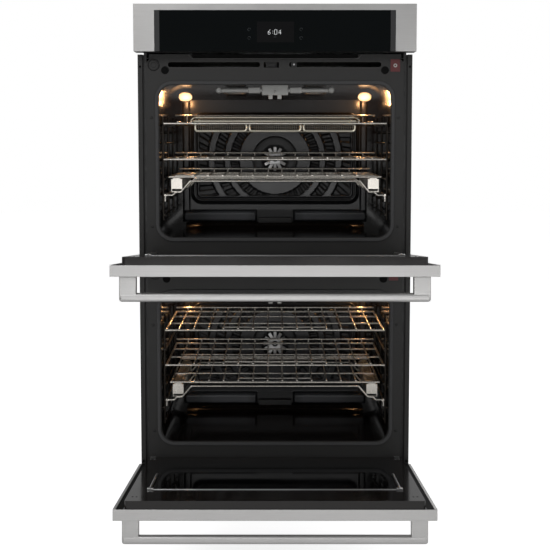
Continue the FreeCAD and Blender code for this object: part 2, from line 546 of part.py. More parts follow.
def insulation_and_rear_parts():
    blankets, motors, rings, bakes, receivers, lamps = [], [], [], [], [], []
    for oven, base in OVENS.items():
        tub_low = f"({base} - cavity_margin - cavity_wall)"
        tub_high = f"({base} + opening_height + cavity_margin + cavity_wall)"
        tub_side = "(opening_width / 2 + cavity_wall)"
        tub_back = f"({CAVITY_BACK} + cavity_wall)"
        blanket = box(f"{oven}_blanket", f"-{tub_side} - insulation_wall", f"{tub_side} + insulation_wall",
                      "insulation_front", f"{tub_back} + insulation_wall",
                      f"{tub_low} - bake_gap - insulation_wall", f"{tub_high} + insulation_wall")
        room = box(f"{oven}_blanket_room", f"-{tub_side}", tub_side, "insulation_front - 5", tub_back,
                   f"{tub_low} - bake_gap", tub_high)
        window = box(f"{oven}_blanket_window", "-motor_window / 2", "motor_window / 2", f"{tub_back} - 5",
                     f"{tub_back} + insulation_wall + 5", f"{base} + fan_above - motor_window / 2",
                     f"{base} + fan_above + motor_window / 2")
        blankets.append(cut(f"{oven}_blanket_cut", blanket, [room, window]))

        flange = box(f"{oven}_motor_flange", "-55", "55", tub_back, f"{tub_back} + 2",
                     f"{base} + fan_above - 55", f"{base} + fan_above + 55")
        can = rod(f"{oven}_motor_can", "motor_radius", "motor_length", "0", f"{tub_back} + 1",
                  f"{base} + fan_above", "y")
        bore = rod(f"{oven}_motor_bore", "shaft_radius + shaft_play", "motor_length - 4", "0",
                   f"{tub_back} - 1", f"{base} + fan_above", "y")
        motors.append(cut(f"{oven}_motor", fuse(f"{oven}_motor_body", [flange, can]), [bore]))

        ring = doc.addObject("Part::Torus", f"{oven}_ring")
        ring.Placement.Rotation = AXES["y"]
        bind(ring, Radius1="ring_radius", Radius2="element_radius", y=f"{CAVITY_BACK} - 20",
             z=f"{base} + fan_above")
        legs = [
            rod(f"{oven}_ring_leg_{i}", "element_radius", f"20 + cavity_wall + 24", f"{x}",
                f"{CAVITY_BACK} - 20", f"{base} + fan_above - ring_radius + 0.5", "y")
            for i, x in enumerate((-14, 14))
        ]
        block = box(f"{oven}_ring_block", "-24", "24", f"{tub_back} + 2", f"{tub_back} + 6",
                    f"{base} + fan_above - ring_radius - 8", f"{base} + fan_above - ring_radius + 9")
        rings.append(fuse(f"{oven}_ring_element", [ring, block] + legs))

        level = size(f"{tub_low} - element_radius - seat_gap")
        reach, front, back = 230, 70, size(f"{CAVITY_BACK} - 40")
        bakes.append(bent_wire(f"{oven}_bake", [
            (-60, back, level), (-60, front + 90, level), (-reach, front + 90, level), (-reach, front, level),
            (reach, front, level), (reach, front + 90, level), (60, front + 90, level), (60, back, level),
        ], size("element_radius")))

        for name, sign in (("left", -1), ("right", 1)):
            lens = slab(f"{oven}_lamp_{name}", "lamp_width", "lamp_height", "12", "14", f"{sign} * lamp_offset",
                        f"{CAVITY_BACK} - 14", f"{base} + lamp_above")
            lamps.append(lens)
            x = f"({sign} * hinge_offset)"
            z = f"({base} - pivot_below)"
            cheeks = []
            for step in (-1, 1):
                inner = f"({x} + {step} * cheek_gap / 2)"
                outer = f"({x} + {step} * (cheek_gap / 2 + cheek_wall))"
                low, high = (inner, outer) if step == 1 else (outer, inner)
                cheeks.append(rod(f"{oven}_{name}_nose_{step + 1}", "cheek_radius", "cheek_wall", low, PIVOT_Y,
                                  z, "x"))
                cheeks.append(box(f"{oven}_{name}_cheek_{step + 1}", low, high, PIVOT_Y, FRAME_BACK + " + 1",
                                  f"{z} - cheek_radius", f"{z} + cheek_radius"))
            pin = rod(f"{oven}_{name}_pin", "pin_radius", "cheek_gap + 2", f"{x} - cheek_gap / 2 - 1", PIVOT_Y, z,
                      "x")
            block = box(f"{oven}_{name}_block", f"{x} - 9", f"{x} + 9", FRAME_BACK, "insulation_front - 10",
                        f"{z} - 5", f"{z} + 40")
            receivers.append(fuse(f"{oven}_{name}_receiver", cheeks + [pin, block]))
    part(group("blankets", blankets), "insulation")
    part(group("motors", motors), "fan_motors")
    part(group("ring_heaters", rings), "ring_elements")
    part(group("bake_heaters", bakes), "bake_elements")
    part(group("receivers", receivers), "hinge_receivers")
    part(group("lamp_lenses", lamps), "lamps")


def broil_element(oven):
    """Two long loops of sheathed heater under the ceiling, hung from a cross bracket."""
    base = OVENS[oven]
    z = size(f"{base} + opening_height + cavity_margin - 18")
    radius = size("element_radius")
    back = size(f"{CAVITY_BACK} - 60")
    front = 60
    loops = bent_wire(f"{oven}_broil_loops", [
        (-30, back, z), (-30, front + 60, z), (-90, front + 60, z), (-90, back, z), (-150, back, z),
        (-150, front, z), (150, front, z), (150, back, z), (90, back, z), (90, front + 60, z),
        (30, front + 60, z), (30, back, z),
    ], radius)
    ceiling = f"{base} + opening_height + cavity_margin"
    bar = box(f"{oven}_broil_bar", "-168", "168", "48", "54", f"{ceiling} - 24", f"{ceiling} - 10")
    post = box(f"{oven}_broil_post", "-38", "38", "46", "62", f"{ceiling} - 26", ceiling)
    part(fuse(f"{oven}_broil", [loops, bar, post]), f"{oven}_broil_element")


def latch_and_switch(oven):
    base = OVENS[oven]
    z = f"({base} + latch_above)"
    tongue = box(f"{oven}_latch_tongue", "-latch_offset - latch_width / 2", "-latch_offset + latch_width / 2",
                 "-2", "64", f"{z} - latch_wall / 2", f"{z} + latch_wall / 2")
    eye = rod(f"{oven}_latch_eye", "3", "20", "-latch_offset", "57", f"{z} - 10")
    part(cut(f"{oven}_latch", tongue, [eye]), f"{oven}_latch_bolt")

    stem = rod(f"{oven}_stem", "switch_radius", "44", "switch_offset", "-trim_proud + door_play",
               f"{base} + switch_above", "y")
    stop = rod(f"{oven}_stop", "switch_radius + 2", "3", "switch_offset", "29", f"{base} + switch_above", "y")
    part(fuse(f"{oven}_plunger", [stem, stop]), f"{oven}_door_switch")


# ---------------------------------------------------------------- doors, drawn about the pivot
def door(oven):
    half = "panel_width / 2"
    low = "(-pivot_rise)"
    high = "(door_length - pivot_rise)"
    face = "(-pivot_depth)"
    edge = "(door_edge - pivot_depth)"
    inner = "(door_thickness - pivot_depth)"

    outer = box(f"{oven}_skin_outer", f"-{half}", half, face, edge, low, high)
    room = box(f"{oven}_skin_room", f"-{half} + door_wall", f"{half} - door_wall", f"{face} + door_wall",
               f"{edge} + 1", f"{low} + door_wall", f"{high} - door_wall")
    window = slab(f"{oven}_skin_window", "window_width", "window_high - window_low", "10", "20", "0",
                  f"{face} - 10", f"(window_high + window_low) / 2 - pivot_rise")
    door_part(cut(f"{oven}_skin", outer, [room, window]), f"{oven}_door_skin", oven)

    pane = slab(f"{oven}_pane", "window_width + 2 * glass_lap", "window_high - window_low + 2 * glass_lap",
                "16", "glass_wall", "0", f"{face} + door_wall", f"(window_high + window_low) / 2 - pivot_rise")
    rim = slab(f"{oven}_pane_rim", "window_width - 0.6", "window_high - window_low - 0.6", "9.7",
               "door_wall + 1", "0", face, f"(window_high + window_low) / 2 - pivot_rise")
    door_part(fuse(f"{oven}_outer_glass", [pane, rim]), f"{oven}_door_glass", oven)

    plate = box(f"{oven}_liner_plate", f"-{half} + door_wall", f"{half} - door_wall", f"{edge} - door_wall",
                edge, f"{low} + door_wall", f"{high} - door_wall")
    raised = slab(f"{oven}_liner_raised", "liner_width", "door_length - 2 * liner_inset", "8",
                  "door_thickness - door_edge + door_wall", "0", f"{edge} - door_wall",
                  "door_length / 2 - pivot_rise")
    hollow = slab(f"{oven}_liner_hollow", "liner_width - 2 * door_wall",
                  "door_length - 2 * liner_inset - 2 * door_wall", "7", "door_thickness - door_edge", "0",
                  f"{edge} - door_wall", "door_length / 2 - pivot_rise")
    view = slab(f"{oven}_liner_view", "glass_width", "glass_high - glass_low", "12", "60", "0",
                f"{edge} - 20", "(glass_high + glass_low) / 2 - pivot_rise")
    catch = box(f"{oven}_liner_catch", "-latch_offset - latch_width / 2 - 2",
                "-latch_offset + latch_width / 2 + 2", f"{inner} - 6", f"{inner} + 4",
                "pivot_below + latch_above - latch_wall / 2 - 1.5",
                "pivot_below + latch_above + latch_wall / 2 + 1.5")
    notches = [
        box(f"{oven}_notch_{name}", f"{sign} * hinge_offset - 10", f"{sign} * hinge_offset + 10",
            f"{edge} - 3", f"{inner} + 2", f"{low} - 1", f"{low} + 36")
        for name, sign in (("left", -1), ("right", 1))
    ]
    body = fuse(f"{oven}_liner_body", [plate, raised])
    door_part(cut(f"{oven}_liner", body, [hollow, view, catch] + notches), f"{oven}_door_liner", oven)

    sheet_glass = slab(f"{oven}_view_glass", "glass_width", "glass_high - glass_low", "12", "glass_wall", "0",
                       f"{inner} - glass_wall", "(glass_high + glass_low) / 2 - pivot_rise")
    sash = slab(f"{oven}_view_sash", "glass_width - 20", "glass_high - glass_low - 20", "8", "2", "0",
                f"{inner} - glass_wall - 1.5", "(glass_high + glass_low) / 2 - pivot_rise")
    door_part(fuse(f"{oven}_inner_glass", [sheet_glass, sash]), f"{oven}_door_inner_glass", oven)

    grip_low = "(door_length - pivot_rise - handle_inset - handle_bar)"
    grip_high = "(door_length - pivot_rise - handle_inset)"
    grip = "handle_length / 2"
    bar = box(f"{oven}_grip_bar", f"-{grip}", grip, f"{face} - handle_stand",
              f"{face} - handle_stand + handle_bar", grip_low, grip_high)
    posts = [
        box(f"{oven}_grip_left", f"-{grip}", f"-{grip} + handle_post", f"{face} - handle_stand", face, grip_low,
            grip_high),
        box(f"{oven}_grip_right", f"{grip} - handle_post", grip, f"{face} - handle_stand", face, grip_low,
            grip_high),
    ]
    door_part(fuse(f"{oven}_grip", [bar] + posts), f"{oven}_door_handle", oven)

    leaves = []
    for name, sign in (("left", -1), ("right", 1)):
        x = f"({sign} * hinge_offset)"
        eye = rod(f"{oven}_{name}_eye", "leaf_radius", "leaf_wall", f"{x} - leaf_wall / 2", "0", "0", "x")
        strap = box(f"{oven}_{name}_strap", f"{x} - leaf_wall / 2", f"{x} + leaf_wall / 2", "-leaf_radius",
                    f"{inner} - door_wall", "0", "leaf_length")
        bore = rod(f"{oven}_{name}_leaf_bore", "pin_radius + pin_play", "leaf_wall + 4",
                   f"{x} - leaf_wall / 2 - 2", "0", "0", "x")
        leaves.append(cut(f"{oven}_{name}_leaf", fuse(f"{oven}_{name}_leaf_body", [eye, strap]), [bore]))
    door_part(group(f"{oven}_leaves", leaves), f"{oven}_door_hinges", oven)


# ---------------------------------------------------------------- racks
SIDE_WIRE = "(rack_width / 2 - rack_wire)"
RACK_BACK = "(rack_front + rack_depth)"


def ladders():
    """Wire ladders on both walls: uprights on wall studs, with a guide wire at each level."""
    frames = []
    guide_x = "(rack_width / 2 - rack_wire + 2)"
    upright_x = f"({guide_x} + 4.5)"
    for oven, base in OVENS.items():
        for name, sign in (("left", -1), ("right", 1)):
            wires = []
            for i, y in enumerate(("14", f"{RACK_BACK} / 2", f"{RACK_BACK} - 8")):
                wires.append(rod(f"{oven}_{name}_upright_{i}", "rack_wire", "5 * level_pitch + 40",
                                 f"{sign} * {upright_x}", y, f"{base} + glide_level - level_pitch - 20"))
                for j, lift in enumerate((-0.5, 3.5)):
                    start = f"{upright_x}" if sign == 1 else "(-opening_width / 2)"
                    wires.append(rod(f"{oven}_{name}_stud_{i}_{j}", "4", f"opening_width / 2 - {upright_x}",
                                     start, y, f"{base} + glide_level + {lift} * level_pitch", "x"))
            for level in range(-1, 5):
                z = f"{base} + glide_level + {level} * level_pitch - rack_wire - 2.5 + 0.05"
                wires.append(rod(f"{oven}_{name}_guide_{level + 1}", "2.5", f"rack_depth",
                                 f"{sign} * {guide_x}", "rack_front + rack_wire + 0.5", z, "y"))
            frames.append(fuse(f"{oven}_{name}_ladder", wires))
    part(group("ladder_set", frames), "rack_ladders")


def rack_wires(tag, z, half, slats, crosses, rise="guard_rise"):
    """The wires of a rack: a rim, cross wires and lengthwise slats that turn up to a raised back guard."""
    side = f"({half} - rack_wire)"
    wires = [
        rod(f"{tag}_front", "rack_wire", f"2 * ({half})", f"-({half})", "rack_front", z, "x"),
        rod(f"{tag}_back", "rack_wire", f"2 * {side}", f"-{side}", RACK_BACK, z, "x"),
        rod(f"{tag}_side_left", "rack_wire", "rack_depth", f"-{side}", "rack_front", z, "y"),
        rod(f"{tag}_side_right", "rack_wire", "rack_depth", side, "rack_front", z, "y"),
        rod(f"{tag}_guard", "rack_wire - 0.5", f"2 * {side}", f"-{side}", RACK_BACK, f"{z} + {rise}", "x"),
    ]
    for i, (x0, x1, y) in enumerate(crosses):
        wires.append(rod(f"{tag}_cross_{i}", "rack_wire - 0.5", f"({x1}) - ({x0})", x0, f"rack_front + {y}", z,
                         "x"))
    for i, x in enumerate(slats):
        wires.append(rod(f"{tag}_slat_{i}", "slat_wire", "rack_depth", x, "rack_front",
                         f"{z} + rack_wire + slat_wire - weld_sink - 0.5", "y"))
        wires.append(rod(f"{tag}_stub_{i}", "slat_wire", rise, x, RACK_BACK, z))
    return wires


def wire_rack(oven, name, level):
    """A plain wire rack at a ladder level."""
    z = f"({OVENS[oven]} + glide_level + {level} * level_pitch)"
    slats = [f"{side} * ({i} + 0.5) * slat_pitch" for side in (-1, 1) for i in range(7)]
    crosses = [("-3.5 * slat_pitch", "3.5 * slat_pitch", 52), (f"-{SIDE_WIRE}", SIDE_WIRE, 119),
               (f"-{SIDE_WIRE}", SIDE_WIRE, 243)]
    part(fuse(f"{oven}_{name}_wires", rack_wires(f"{oven}_{name}", z, "rack_width / 2", slats, crosses)),
         f"{oven}_{name}")


def tray_rack(oven, name, level):
    """A rack with an open middle that carries a hanging tray."""
    z = f"({OVENS[oven]} + glide_level + {level} * level_pitch)"
    edge = "(tray_width / 2 + 6)"
    slats = [f"{side} * {x}" for side in (-1, 1) for x in (edge, f"({edge} + 0.9 * slat_pitch)")]
    crosses = [(f"-{SIDE_WIRE}", f"-{edge}", y) for y in (119, 243)] + [(edge, SIDE_WIRE, y) for y in (119, 243)]
    wires = rack_wires(f"{oven}_{name}", z, "rack_width / 2", slats, crosses, "tray_guard_rise")
    part(fuse(f"{oven}_{name}_wires", wires), f"{oven}_{name}")

    half = "tray_width / 2"
    front, back = "(rack_front + 12)", f"({RACK_BACK} - 14)"
    low, high = f"{z} - tray_drop", f"{z} + tray_rise"
    pan = box("pan_outer", f"-{half}", half, front, back, low, high)
    room = box("pan_room", f"-{half} + tray_wall", f"{half} - tray_wall", f"{front} + tray_wall",
               f"{back} - tray_wall", f"{low} + tray_wall", f"{high} + 5")
    seat = f"{z} + rack_wire + 2 * slat_wire - weld_sink - 0.5 + seat_gap"
    wing_left = box("pan_wing_left", f"-{half} - 12", f"-{half} + tray_wall", front, back, seat, f"{seat} + 1.5")
    wing_right = box("pan_wing_right", f"{half} - tray_wall", f"{half} + 12", front, back, seat, f"{seat} + 1.5")
    loops = [
        slab(f"pan_loop_{i}", "tray_width / 3 - 14", "11", "5", "8", f"{i - 1} * tray_width / 3",
             f"{front} - 3", f"{z} - 8")
        for i in range(3)
    ]
    body = fuse("pan_body", [cut("pan_shell", pan, [room]), wing_left, wing_right])
    part(cut("pan", body, loops), f"{oven}_mesh_tray")


def glide_rack(oven):
    """A carrier with two rails that rests on the ladders, and a rack that slides on the rails.

    The rails are open at the front, where the rack's own end plates cover them.
    """
    base = OVENS[oven]
    floor = size(base)
    level, rail_z = size("glide_level"), size("rail_low")
    reach = size(SIDE_WIRE)
    front, back = size("rack_front"), size(RACK_BACK)
    inner = size("rail_offset - rail_width / 2")
    saddle = rail_z - 1.7
    profile = [(-reach, level - 17), (-reach, level), (-reach + 22, level), (-reach + 28, saddle),
               (-inner - 4, saddle), (-inner + 22, level + 39)]
    wires = []
    for tag, y in (("front", front), ("middle", (front + back) / 2), ("back", back)):
        drop = profile if tag == "front" else profile[1:]
        points = [(x, y, floor + z) for x, z in drop]
        points += [(-x, y, z) for x, y, z in reversed(points)]
        wires.append(bent_wire(f"{oven}_carrier_{tag}", points, 2.5))
    for name, sign in (("left", "-1"), ("right", "1")):
        wires.append(rod(f"{oven}_carrier_side_{name}", "rack_wire", "rack_depth", f"{sign} * {SIDE_WIRE}",
                         "rack_front", f"{base} + glide_level", "y"))
        x = f"({sign} * rail_offset)"
        y = ("rack_front", f"{RACK_BACK} - 4")
        low, high = f"({base} + rail_low)", f"({base} + rail_low + rail_height)"
        outer = box(f"{oven}_rail_{name}_outer", f"{x} - rail_width / 2", f"{x} + rail_width / 2", *y, low, high)
        room = box(f"{oven}_rail_{name}_room", f"{x} - rail_width / 2 + rail_wall",
                   f"{x} + rail_width / 2 - rail_wall", "rack_front - 5", f"{RACK_BACK} - 10",
                   f"{low} + rail_wall", f"{high} - rail_wall")
        slot = box(f"{oven}_rail_{name}_slot", f"{x} - 6", f"{x} + 6", "rack_front - 5", f"{RACK_BACK}",
                   f"{high} - rail_wall - 12", f"{high} + 5")
        wires.append(cut(f"{oven}_rail_{name}", outer, [room, slot]))
    part(fuse(f"{oven}_carrier", wires), f"{oven}_glide_carrier")

    z = f"({base} + glide_plane)"
    half = "glide_width / 2"
    slats = [f"{side} * ({i} + 0.5) * slat_pitch" for side in (-1, 1) for i in range(6)]
    crosses = [(f"-{half} + rack_wire", f"{half} - rack_wire", y) for y in (119, 243)]
    crosses.append(("-2.5 * slat_pitch", "2.5 * slat_pitch", 52))
    pieces = rack_wires(f"{oven}_glide", z, half, slats, crosses)
    rail_top = f"({base} + rail_low + rail_height)"
    for name, sign in (("left", "-1"), ("right", "1")):
        x = f"({sign} * rail_offset)"
        span = ("rack_front - 1", f"{RACK_BACK} - 14")
        cap = box(f"{oven}_slide_{name}_cap", f"{x} - 10", f"{x} + 10", *span, f"{rail_top} + seat_gap",
                  f"{z} - rack_wire + 1.5")
        web = box(f"{oven}_slide_{name}_web", f"{x} - 4", f"{x} + 4", *span, f"{rail_top} - 10",
                  f"{rail_top} + 1")
        foot = box(f"{oven}_slide_{name}_foot", f"{x} - 9", f"{x} + 9", *span, f"{rail_top} - 14",
                   f"{rail_top} - 8")
        end = box(f"{oven}_slide_{name}_end", f"{x} - rail_width / 2", f"{x} + rail_width / 2",
                  "rack_front - 2.5", "rack_front - 0.5", f"{base} + rail_low + 8", f"{rail_top} + 1")
        pieces += [cap, web, foot, end]
    part(fuse(f"{oven}_glide_wires", pieces), f"{oven}_glide_rack")


# ---------------------------------------------------------------- build
chassis()
deck("upper", "upper_deck")
deck("lower", "centre_deck")
side_trims()
controls()
for oven_name in OVENS:
    front_frame(oven_name)
    cavity(oven_name)
    fan_cover(oven_name)
    fan_wheel(oven_name)
    broil_element(oven_name)
    latch_and_switch(oven_name)
    door(oven_name)
    glide_rack(oven_name)
    wire_rack(oven_name, "middle_rack", 2)
cover_screws()
insulation_and_rear_parts()
ladders()
tray_rack("upper", "top_rack", 4)
wire_rack("lower", "top_rack", 4)
doc.recompute()

faults = [o.Name for o in doc.Objects if {"Invalid", "Error"} & set(o.State)]
for item in PARTS:
    if item.Shape.isNull() or not item.Shape.isValid() or not item.Shape.Solids:
        faults.append(item.Label)
if faults:
    raise SystemExit(f"these objects failed: {faults}")

os.makedirs("parts", exist_ok=True)
for item in PARTS:
    item.Shape.exportStep(f"parts/{item.Label}.step")
    print(f"{item.Label}: {len(item.Shape.Solids)} solids, {item.Shape.Volume / 1000:.1f} cm3")
print(len(PARTS), "nodes")
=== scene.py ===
import json
import math

import bmesh
import bpy
import mathutils
import numpy as np
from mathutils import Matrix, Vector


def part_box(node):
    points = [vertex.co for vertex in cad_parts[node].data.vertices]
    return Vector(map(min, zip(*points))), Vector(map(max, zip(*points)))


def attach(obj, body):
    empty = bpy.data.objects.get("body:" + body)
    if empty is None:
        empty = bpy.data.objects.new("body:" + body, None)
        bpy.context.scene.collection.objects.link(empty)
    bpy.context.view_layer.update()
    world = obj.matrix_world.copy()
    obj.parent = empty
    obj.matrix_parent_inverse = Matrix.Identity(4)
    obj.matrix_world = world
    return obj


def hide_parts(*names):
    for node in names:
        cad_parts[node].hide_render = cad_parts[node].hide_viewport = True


# Looks of a double wall oven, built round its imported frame. Metres; +Z is up and the doors open towards -Y.
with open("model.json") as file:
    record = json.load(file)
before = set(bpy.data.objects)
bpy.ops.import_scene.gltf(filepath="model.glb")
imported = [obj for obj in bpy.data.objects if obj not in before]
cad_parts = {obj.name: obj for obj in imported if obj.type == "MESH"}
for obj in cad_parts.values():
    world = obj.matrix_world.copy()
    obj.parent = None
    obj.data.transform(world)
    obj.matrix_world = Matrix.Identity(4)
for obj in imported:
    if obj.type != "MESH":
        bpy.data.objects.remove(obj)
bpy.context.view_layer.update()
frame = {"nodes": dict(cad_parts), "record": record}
OVENS = ("upper", "lower")


# ---------------------------------------------------------------- shader arithmetic
class Signal:
    """One output of a shader node. Arithmetic on it adds Math nodes to the same tree."""

    def __init__(self, tree, socket):
        self.tree, self.socket = tree, socket

    def node(self, kind, settings=None, inputs=None, output=0):
        """Adds a node: its settings first, then a value or a Signal for each named or numbered socket."""
        made = self.tree.nodes.new("ShaderNode" + kind)
        for name, value in (settings or {}).items():
            if name == "stops":
                while len(made.color_ramp.elements) < len(value):
                    made.color_ramp.elements.new(1)
                for element, (position, grey) in zip(made.color_ramp.elements, value):
                    element.position, element.color = position, (grey, grey, grey, 1)
            else:
                setattr(made, name, value)
        for name, value in (inputs or {}).items():
            if isinstance(value, Signal):
                self.tree.links.new(value.socket, made.inputs[name])
            else:
                made.inputs[name].default_value = value
        return Signal(self.tree, made.outputs[output])

    def math(self, operation, *values):
        return self.node("Math", {"operation": operation}, dict(enumerate(values)))

    def __add__(self, other):
        return self.math("ADD", self, other)

    def __sub__(self, other):
        return self.math("SUBTRACT", self, other)

    def __mul__(self, other):
        return self.math("MULTIPLY", self, other)

    def __rsub__(self, other):
        return self.math("SUBTRACT", other, self)

    __radd__, __rmul__ = __add__, __mul__

    def above(self, edge, soft):
        """0 below edge - soft, 1 above edge + soft, smooth between."""
        return self.node("MapRange", {"interpolation_type": "SMOOTHSTEP"},
                         {"Value": self, "From Min": edge - soft, "From Max": edge + soft})

    def noise(self, scale, detail=2.0, stretch=(1, 1, 1)):
        """Noise in space, with a scale along each axis."""
        spread = self.node("Mapping", None, {"Vector": self, "Scale": stretch})
        return self.node("TexNoise", None, {"Vector": spread, "Scale": scale, "Detail": detail})

    def blend(self, low, high):
        """A colour from low to high as the signal goes from 0 to 1."""
        return self.node("Mix", {"data_type": "RGBA"}, {0: self, 6: (*low, 1), 7: (*high, 1)}, 2)


def finish_of(name, pattern, constants):
    """A material. pattern(place) gives what varies over the surface, and constants set whole sockets."""
    made = bpy.data.materials.new(name)
    made.use_nodes = True
    tree = made.node_tree
    shader = tree.nodes["Principled BSDF"]
    for socket, value in constants.items():
        shader.inputs[socket].default_value = value
    place = Signal(tree, tree.nodes.new("ShaderNodeTexCoord").outputs["Object"])
    for socket, value in pattern(place).items():
        if socket == "Relief":
            height, depth = value
            bump = place.node("Bump", None, {"Height": height, "Distance": depth, "Strength": 1.0})
            tree.links.new(bump.socket, shader.inputs["Normal"])
        else:
            tree.links.new(value.socket, shader.inputs[socket])
    return made


def brushed(low, high, grain=(1, 1, 1)):
    """Stainless steel: fine scratches drawn out along one axis, over slow cloudy variation."""
    def pattern(place):
        scratch = place.noise(900, 3, grain)
        cloud = place.noise(5, 2)
        tone = scratch * 0.55 + cloud * 0.45
        return {"Base Color": tone.blend(low, high), "Roughness": 0.2 + scratch * 0.22 + cloud * 0.08,
                "Relief": (scratch, 0.00002)}
    return pattern


def coated(low, high, rough, speckle=1400, depth=0.00002):
    """Paint or enamel: a fine orange-peel skin with faint specks and slow changes of gloss."""
    def pattern(place):
        peel = place.noise(speckle, 2)
        cloud = place.noise(7, 3)
        speck = peel.above(0.66, 0.04)
        return {"Base Color": (cloud * 0.7 + speck * 0.3).blend(low, high),
                "Roughness": rough + cloud * 0.12 + speck * 0.08, "Relief": (peel, depth)}
    return pattern


def glazed(low, high, rough):
    """Black glass: a clean surface with faint wiping marks in its gloss."""
    def pattern(place):
        wipe = place.noise(9, 4, (0.5, 1, 2))
        return {"Base Color": wipe.blend(low, high), "Roughness": rough + wipe.above(0.55, 0.2) * 0.05}
    return pattern


def plated(low, high, rough):
    """Bright plated wire: small pits and slow changes of tint."""
    def pattern(place):
        pit = place.noise(700, 2)
        tint = place.noise(11, 2)
        return {"Base Color": tint.blend(low, high), "Roughness": rough + pit * 0.15,
                "Relief": (pit, 0.00002)}
    return pattern


def zinc(place):
    """Zinc-coated sheet: flat crystals of slightly different grey."""
    crystal = place.node("TexVoronoi", None, {"Vector": place, "Scale": 90.0}, 1)
    shade = place.node("SeparateColor", None, {"Color": crystal})
    fine = place.noise(500, 2)
    return {"Base Color": (shade * 0.7 + fine * 0.3).blend((0.30, 0.31, 0.32), (0.52, 0.53, 0.54)),
            "Roughness": 0.34 + shade * 0.2, "Relief": (fine, 0.00003)}


def painted_front(place):
    """Zinc-coated sheet whose front few centimetres are painted dark, where they show beside the ovens."""
    sheet = zinc(place)
    depth = place.node("SeparateXYZ", None, {"Vector": place}, 1)
    bare = depth.above(0.075, 0.002)
    paint = place.noise(7, 3).blend((0.008, 0.008, 0.008), (0.016, 0.016, 0.016))
    colour = place.node("Mix", {"data_type": "RGBA"}, {0: bare, 6: paint, 7: sheet["Base Color"]}, 2)
    return {"Base Color": colour, "Roughness": sheet["Roughness"], "Metallic": bare * 0.9,
            "Relief": sheet["Relief"]}


def wool(place):
    """Glass wool: matted fibres."""
    fibre = place.noise(160, 5, (1, 1, 4))
    return {"Base Color": fibre.blend((0.42, 0.37, 0.24), (0.85, 0.8, 0.66)), "Roughness": 0.9 + fibre * 0.1,
            "Relief": (fibre, 0.004)}


def woven(place):
    """Woven fibreglass seal: crossing strands."""
    strand = place.node("TexWave", {"wave_type": "BANDS", "bands_direction": "DIAGONAL"},
                        {"Vector": place, "Scale": 260.0, "Distortion": 1.5}, 1)
    return {"Base Color": strand.blend((0.02, 0.02, 0.021), (0.09, 0.09, 0.092)),
            "Roughness": 0.65 + strand * 0.25, "Relief": (strand, 0.0006)}


def cover_enamel(place):
    """Enamel on the fan cover: raised bands show grey, and painted shade makes the lowered ones nearly black.
    A painted highlight makes the duct ledge lighter.
    """
    sunk = place.node("Attribute", {"attribute_name": "sunk"}, None, 2)
    peel = place.noise(1100, 2)
    cloud = place.noise(9, 3)
    # Painted shade and highlight: the attribute darkens the cover's hollows and lightens its ledge.
    tone = (1 - sunk) * (0.19 + cloud * 0.09)
    return {"Base Color": tone.blend((0.0012, 0.0012, 0.0013), (0.094, 0.097, 0.104)),
            "Roughness": 0.15 + cloud * 0.12 + sunk * 0.2, "Relief": (peel, 0.00003)}


def glowing(place):
    """A lit lamp lens: white-hot in the middle and amber at its rim, ribbed like pressed glass."""
    rib = place.noise(120, 2)
    glow = place.node("Attribute", {"attribute_name": "glow"}, None, 2)
    heat = glow * 0.8 + rib * 0.3
    return {"Base Color": rib.blend((0.8, 0.62, 0.4), (1, 0.9, 0.74)), "Roughness": 0.25 + rib * 0.3,
            "Emission Color": heat.blend((0.30, 0.08, 0.012), (1.0, 0.80, 0.50)), "Relief": (rib, 0.0006)}


def lit(place):
    """Light-emitting figures behind the glass."""
    flicker = place.noise(900, 1)
    return {"Emission Color": flicker.blend((0.75, 0.8, 0.85), (1, 1, 1)),
            "Base Color": flicker.blend((0.4, 0.4, 0.4), (0.6, 0.6, 0.6)), "Roughness": 0.4 + flicker * 0.2}


LENGTHWISE = (0.02, 1, 1)
METAL = {"Metallic": 1.0}


def sheen_of(level):
    """A shader's reflection at its face, lower than the usual 0.5 on a dark coat."""
    return {"Specular IOR Level": level}


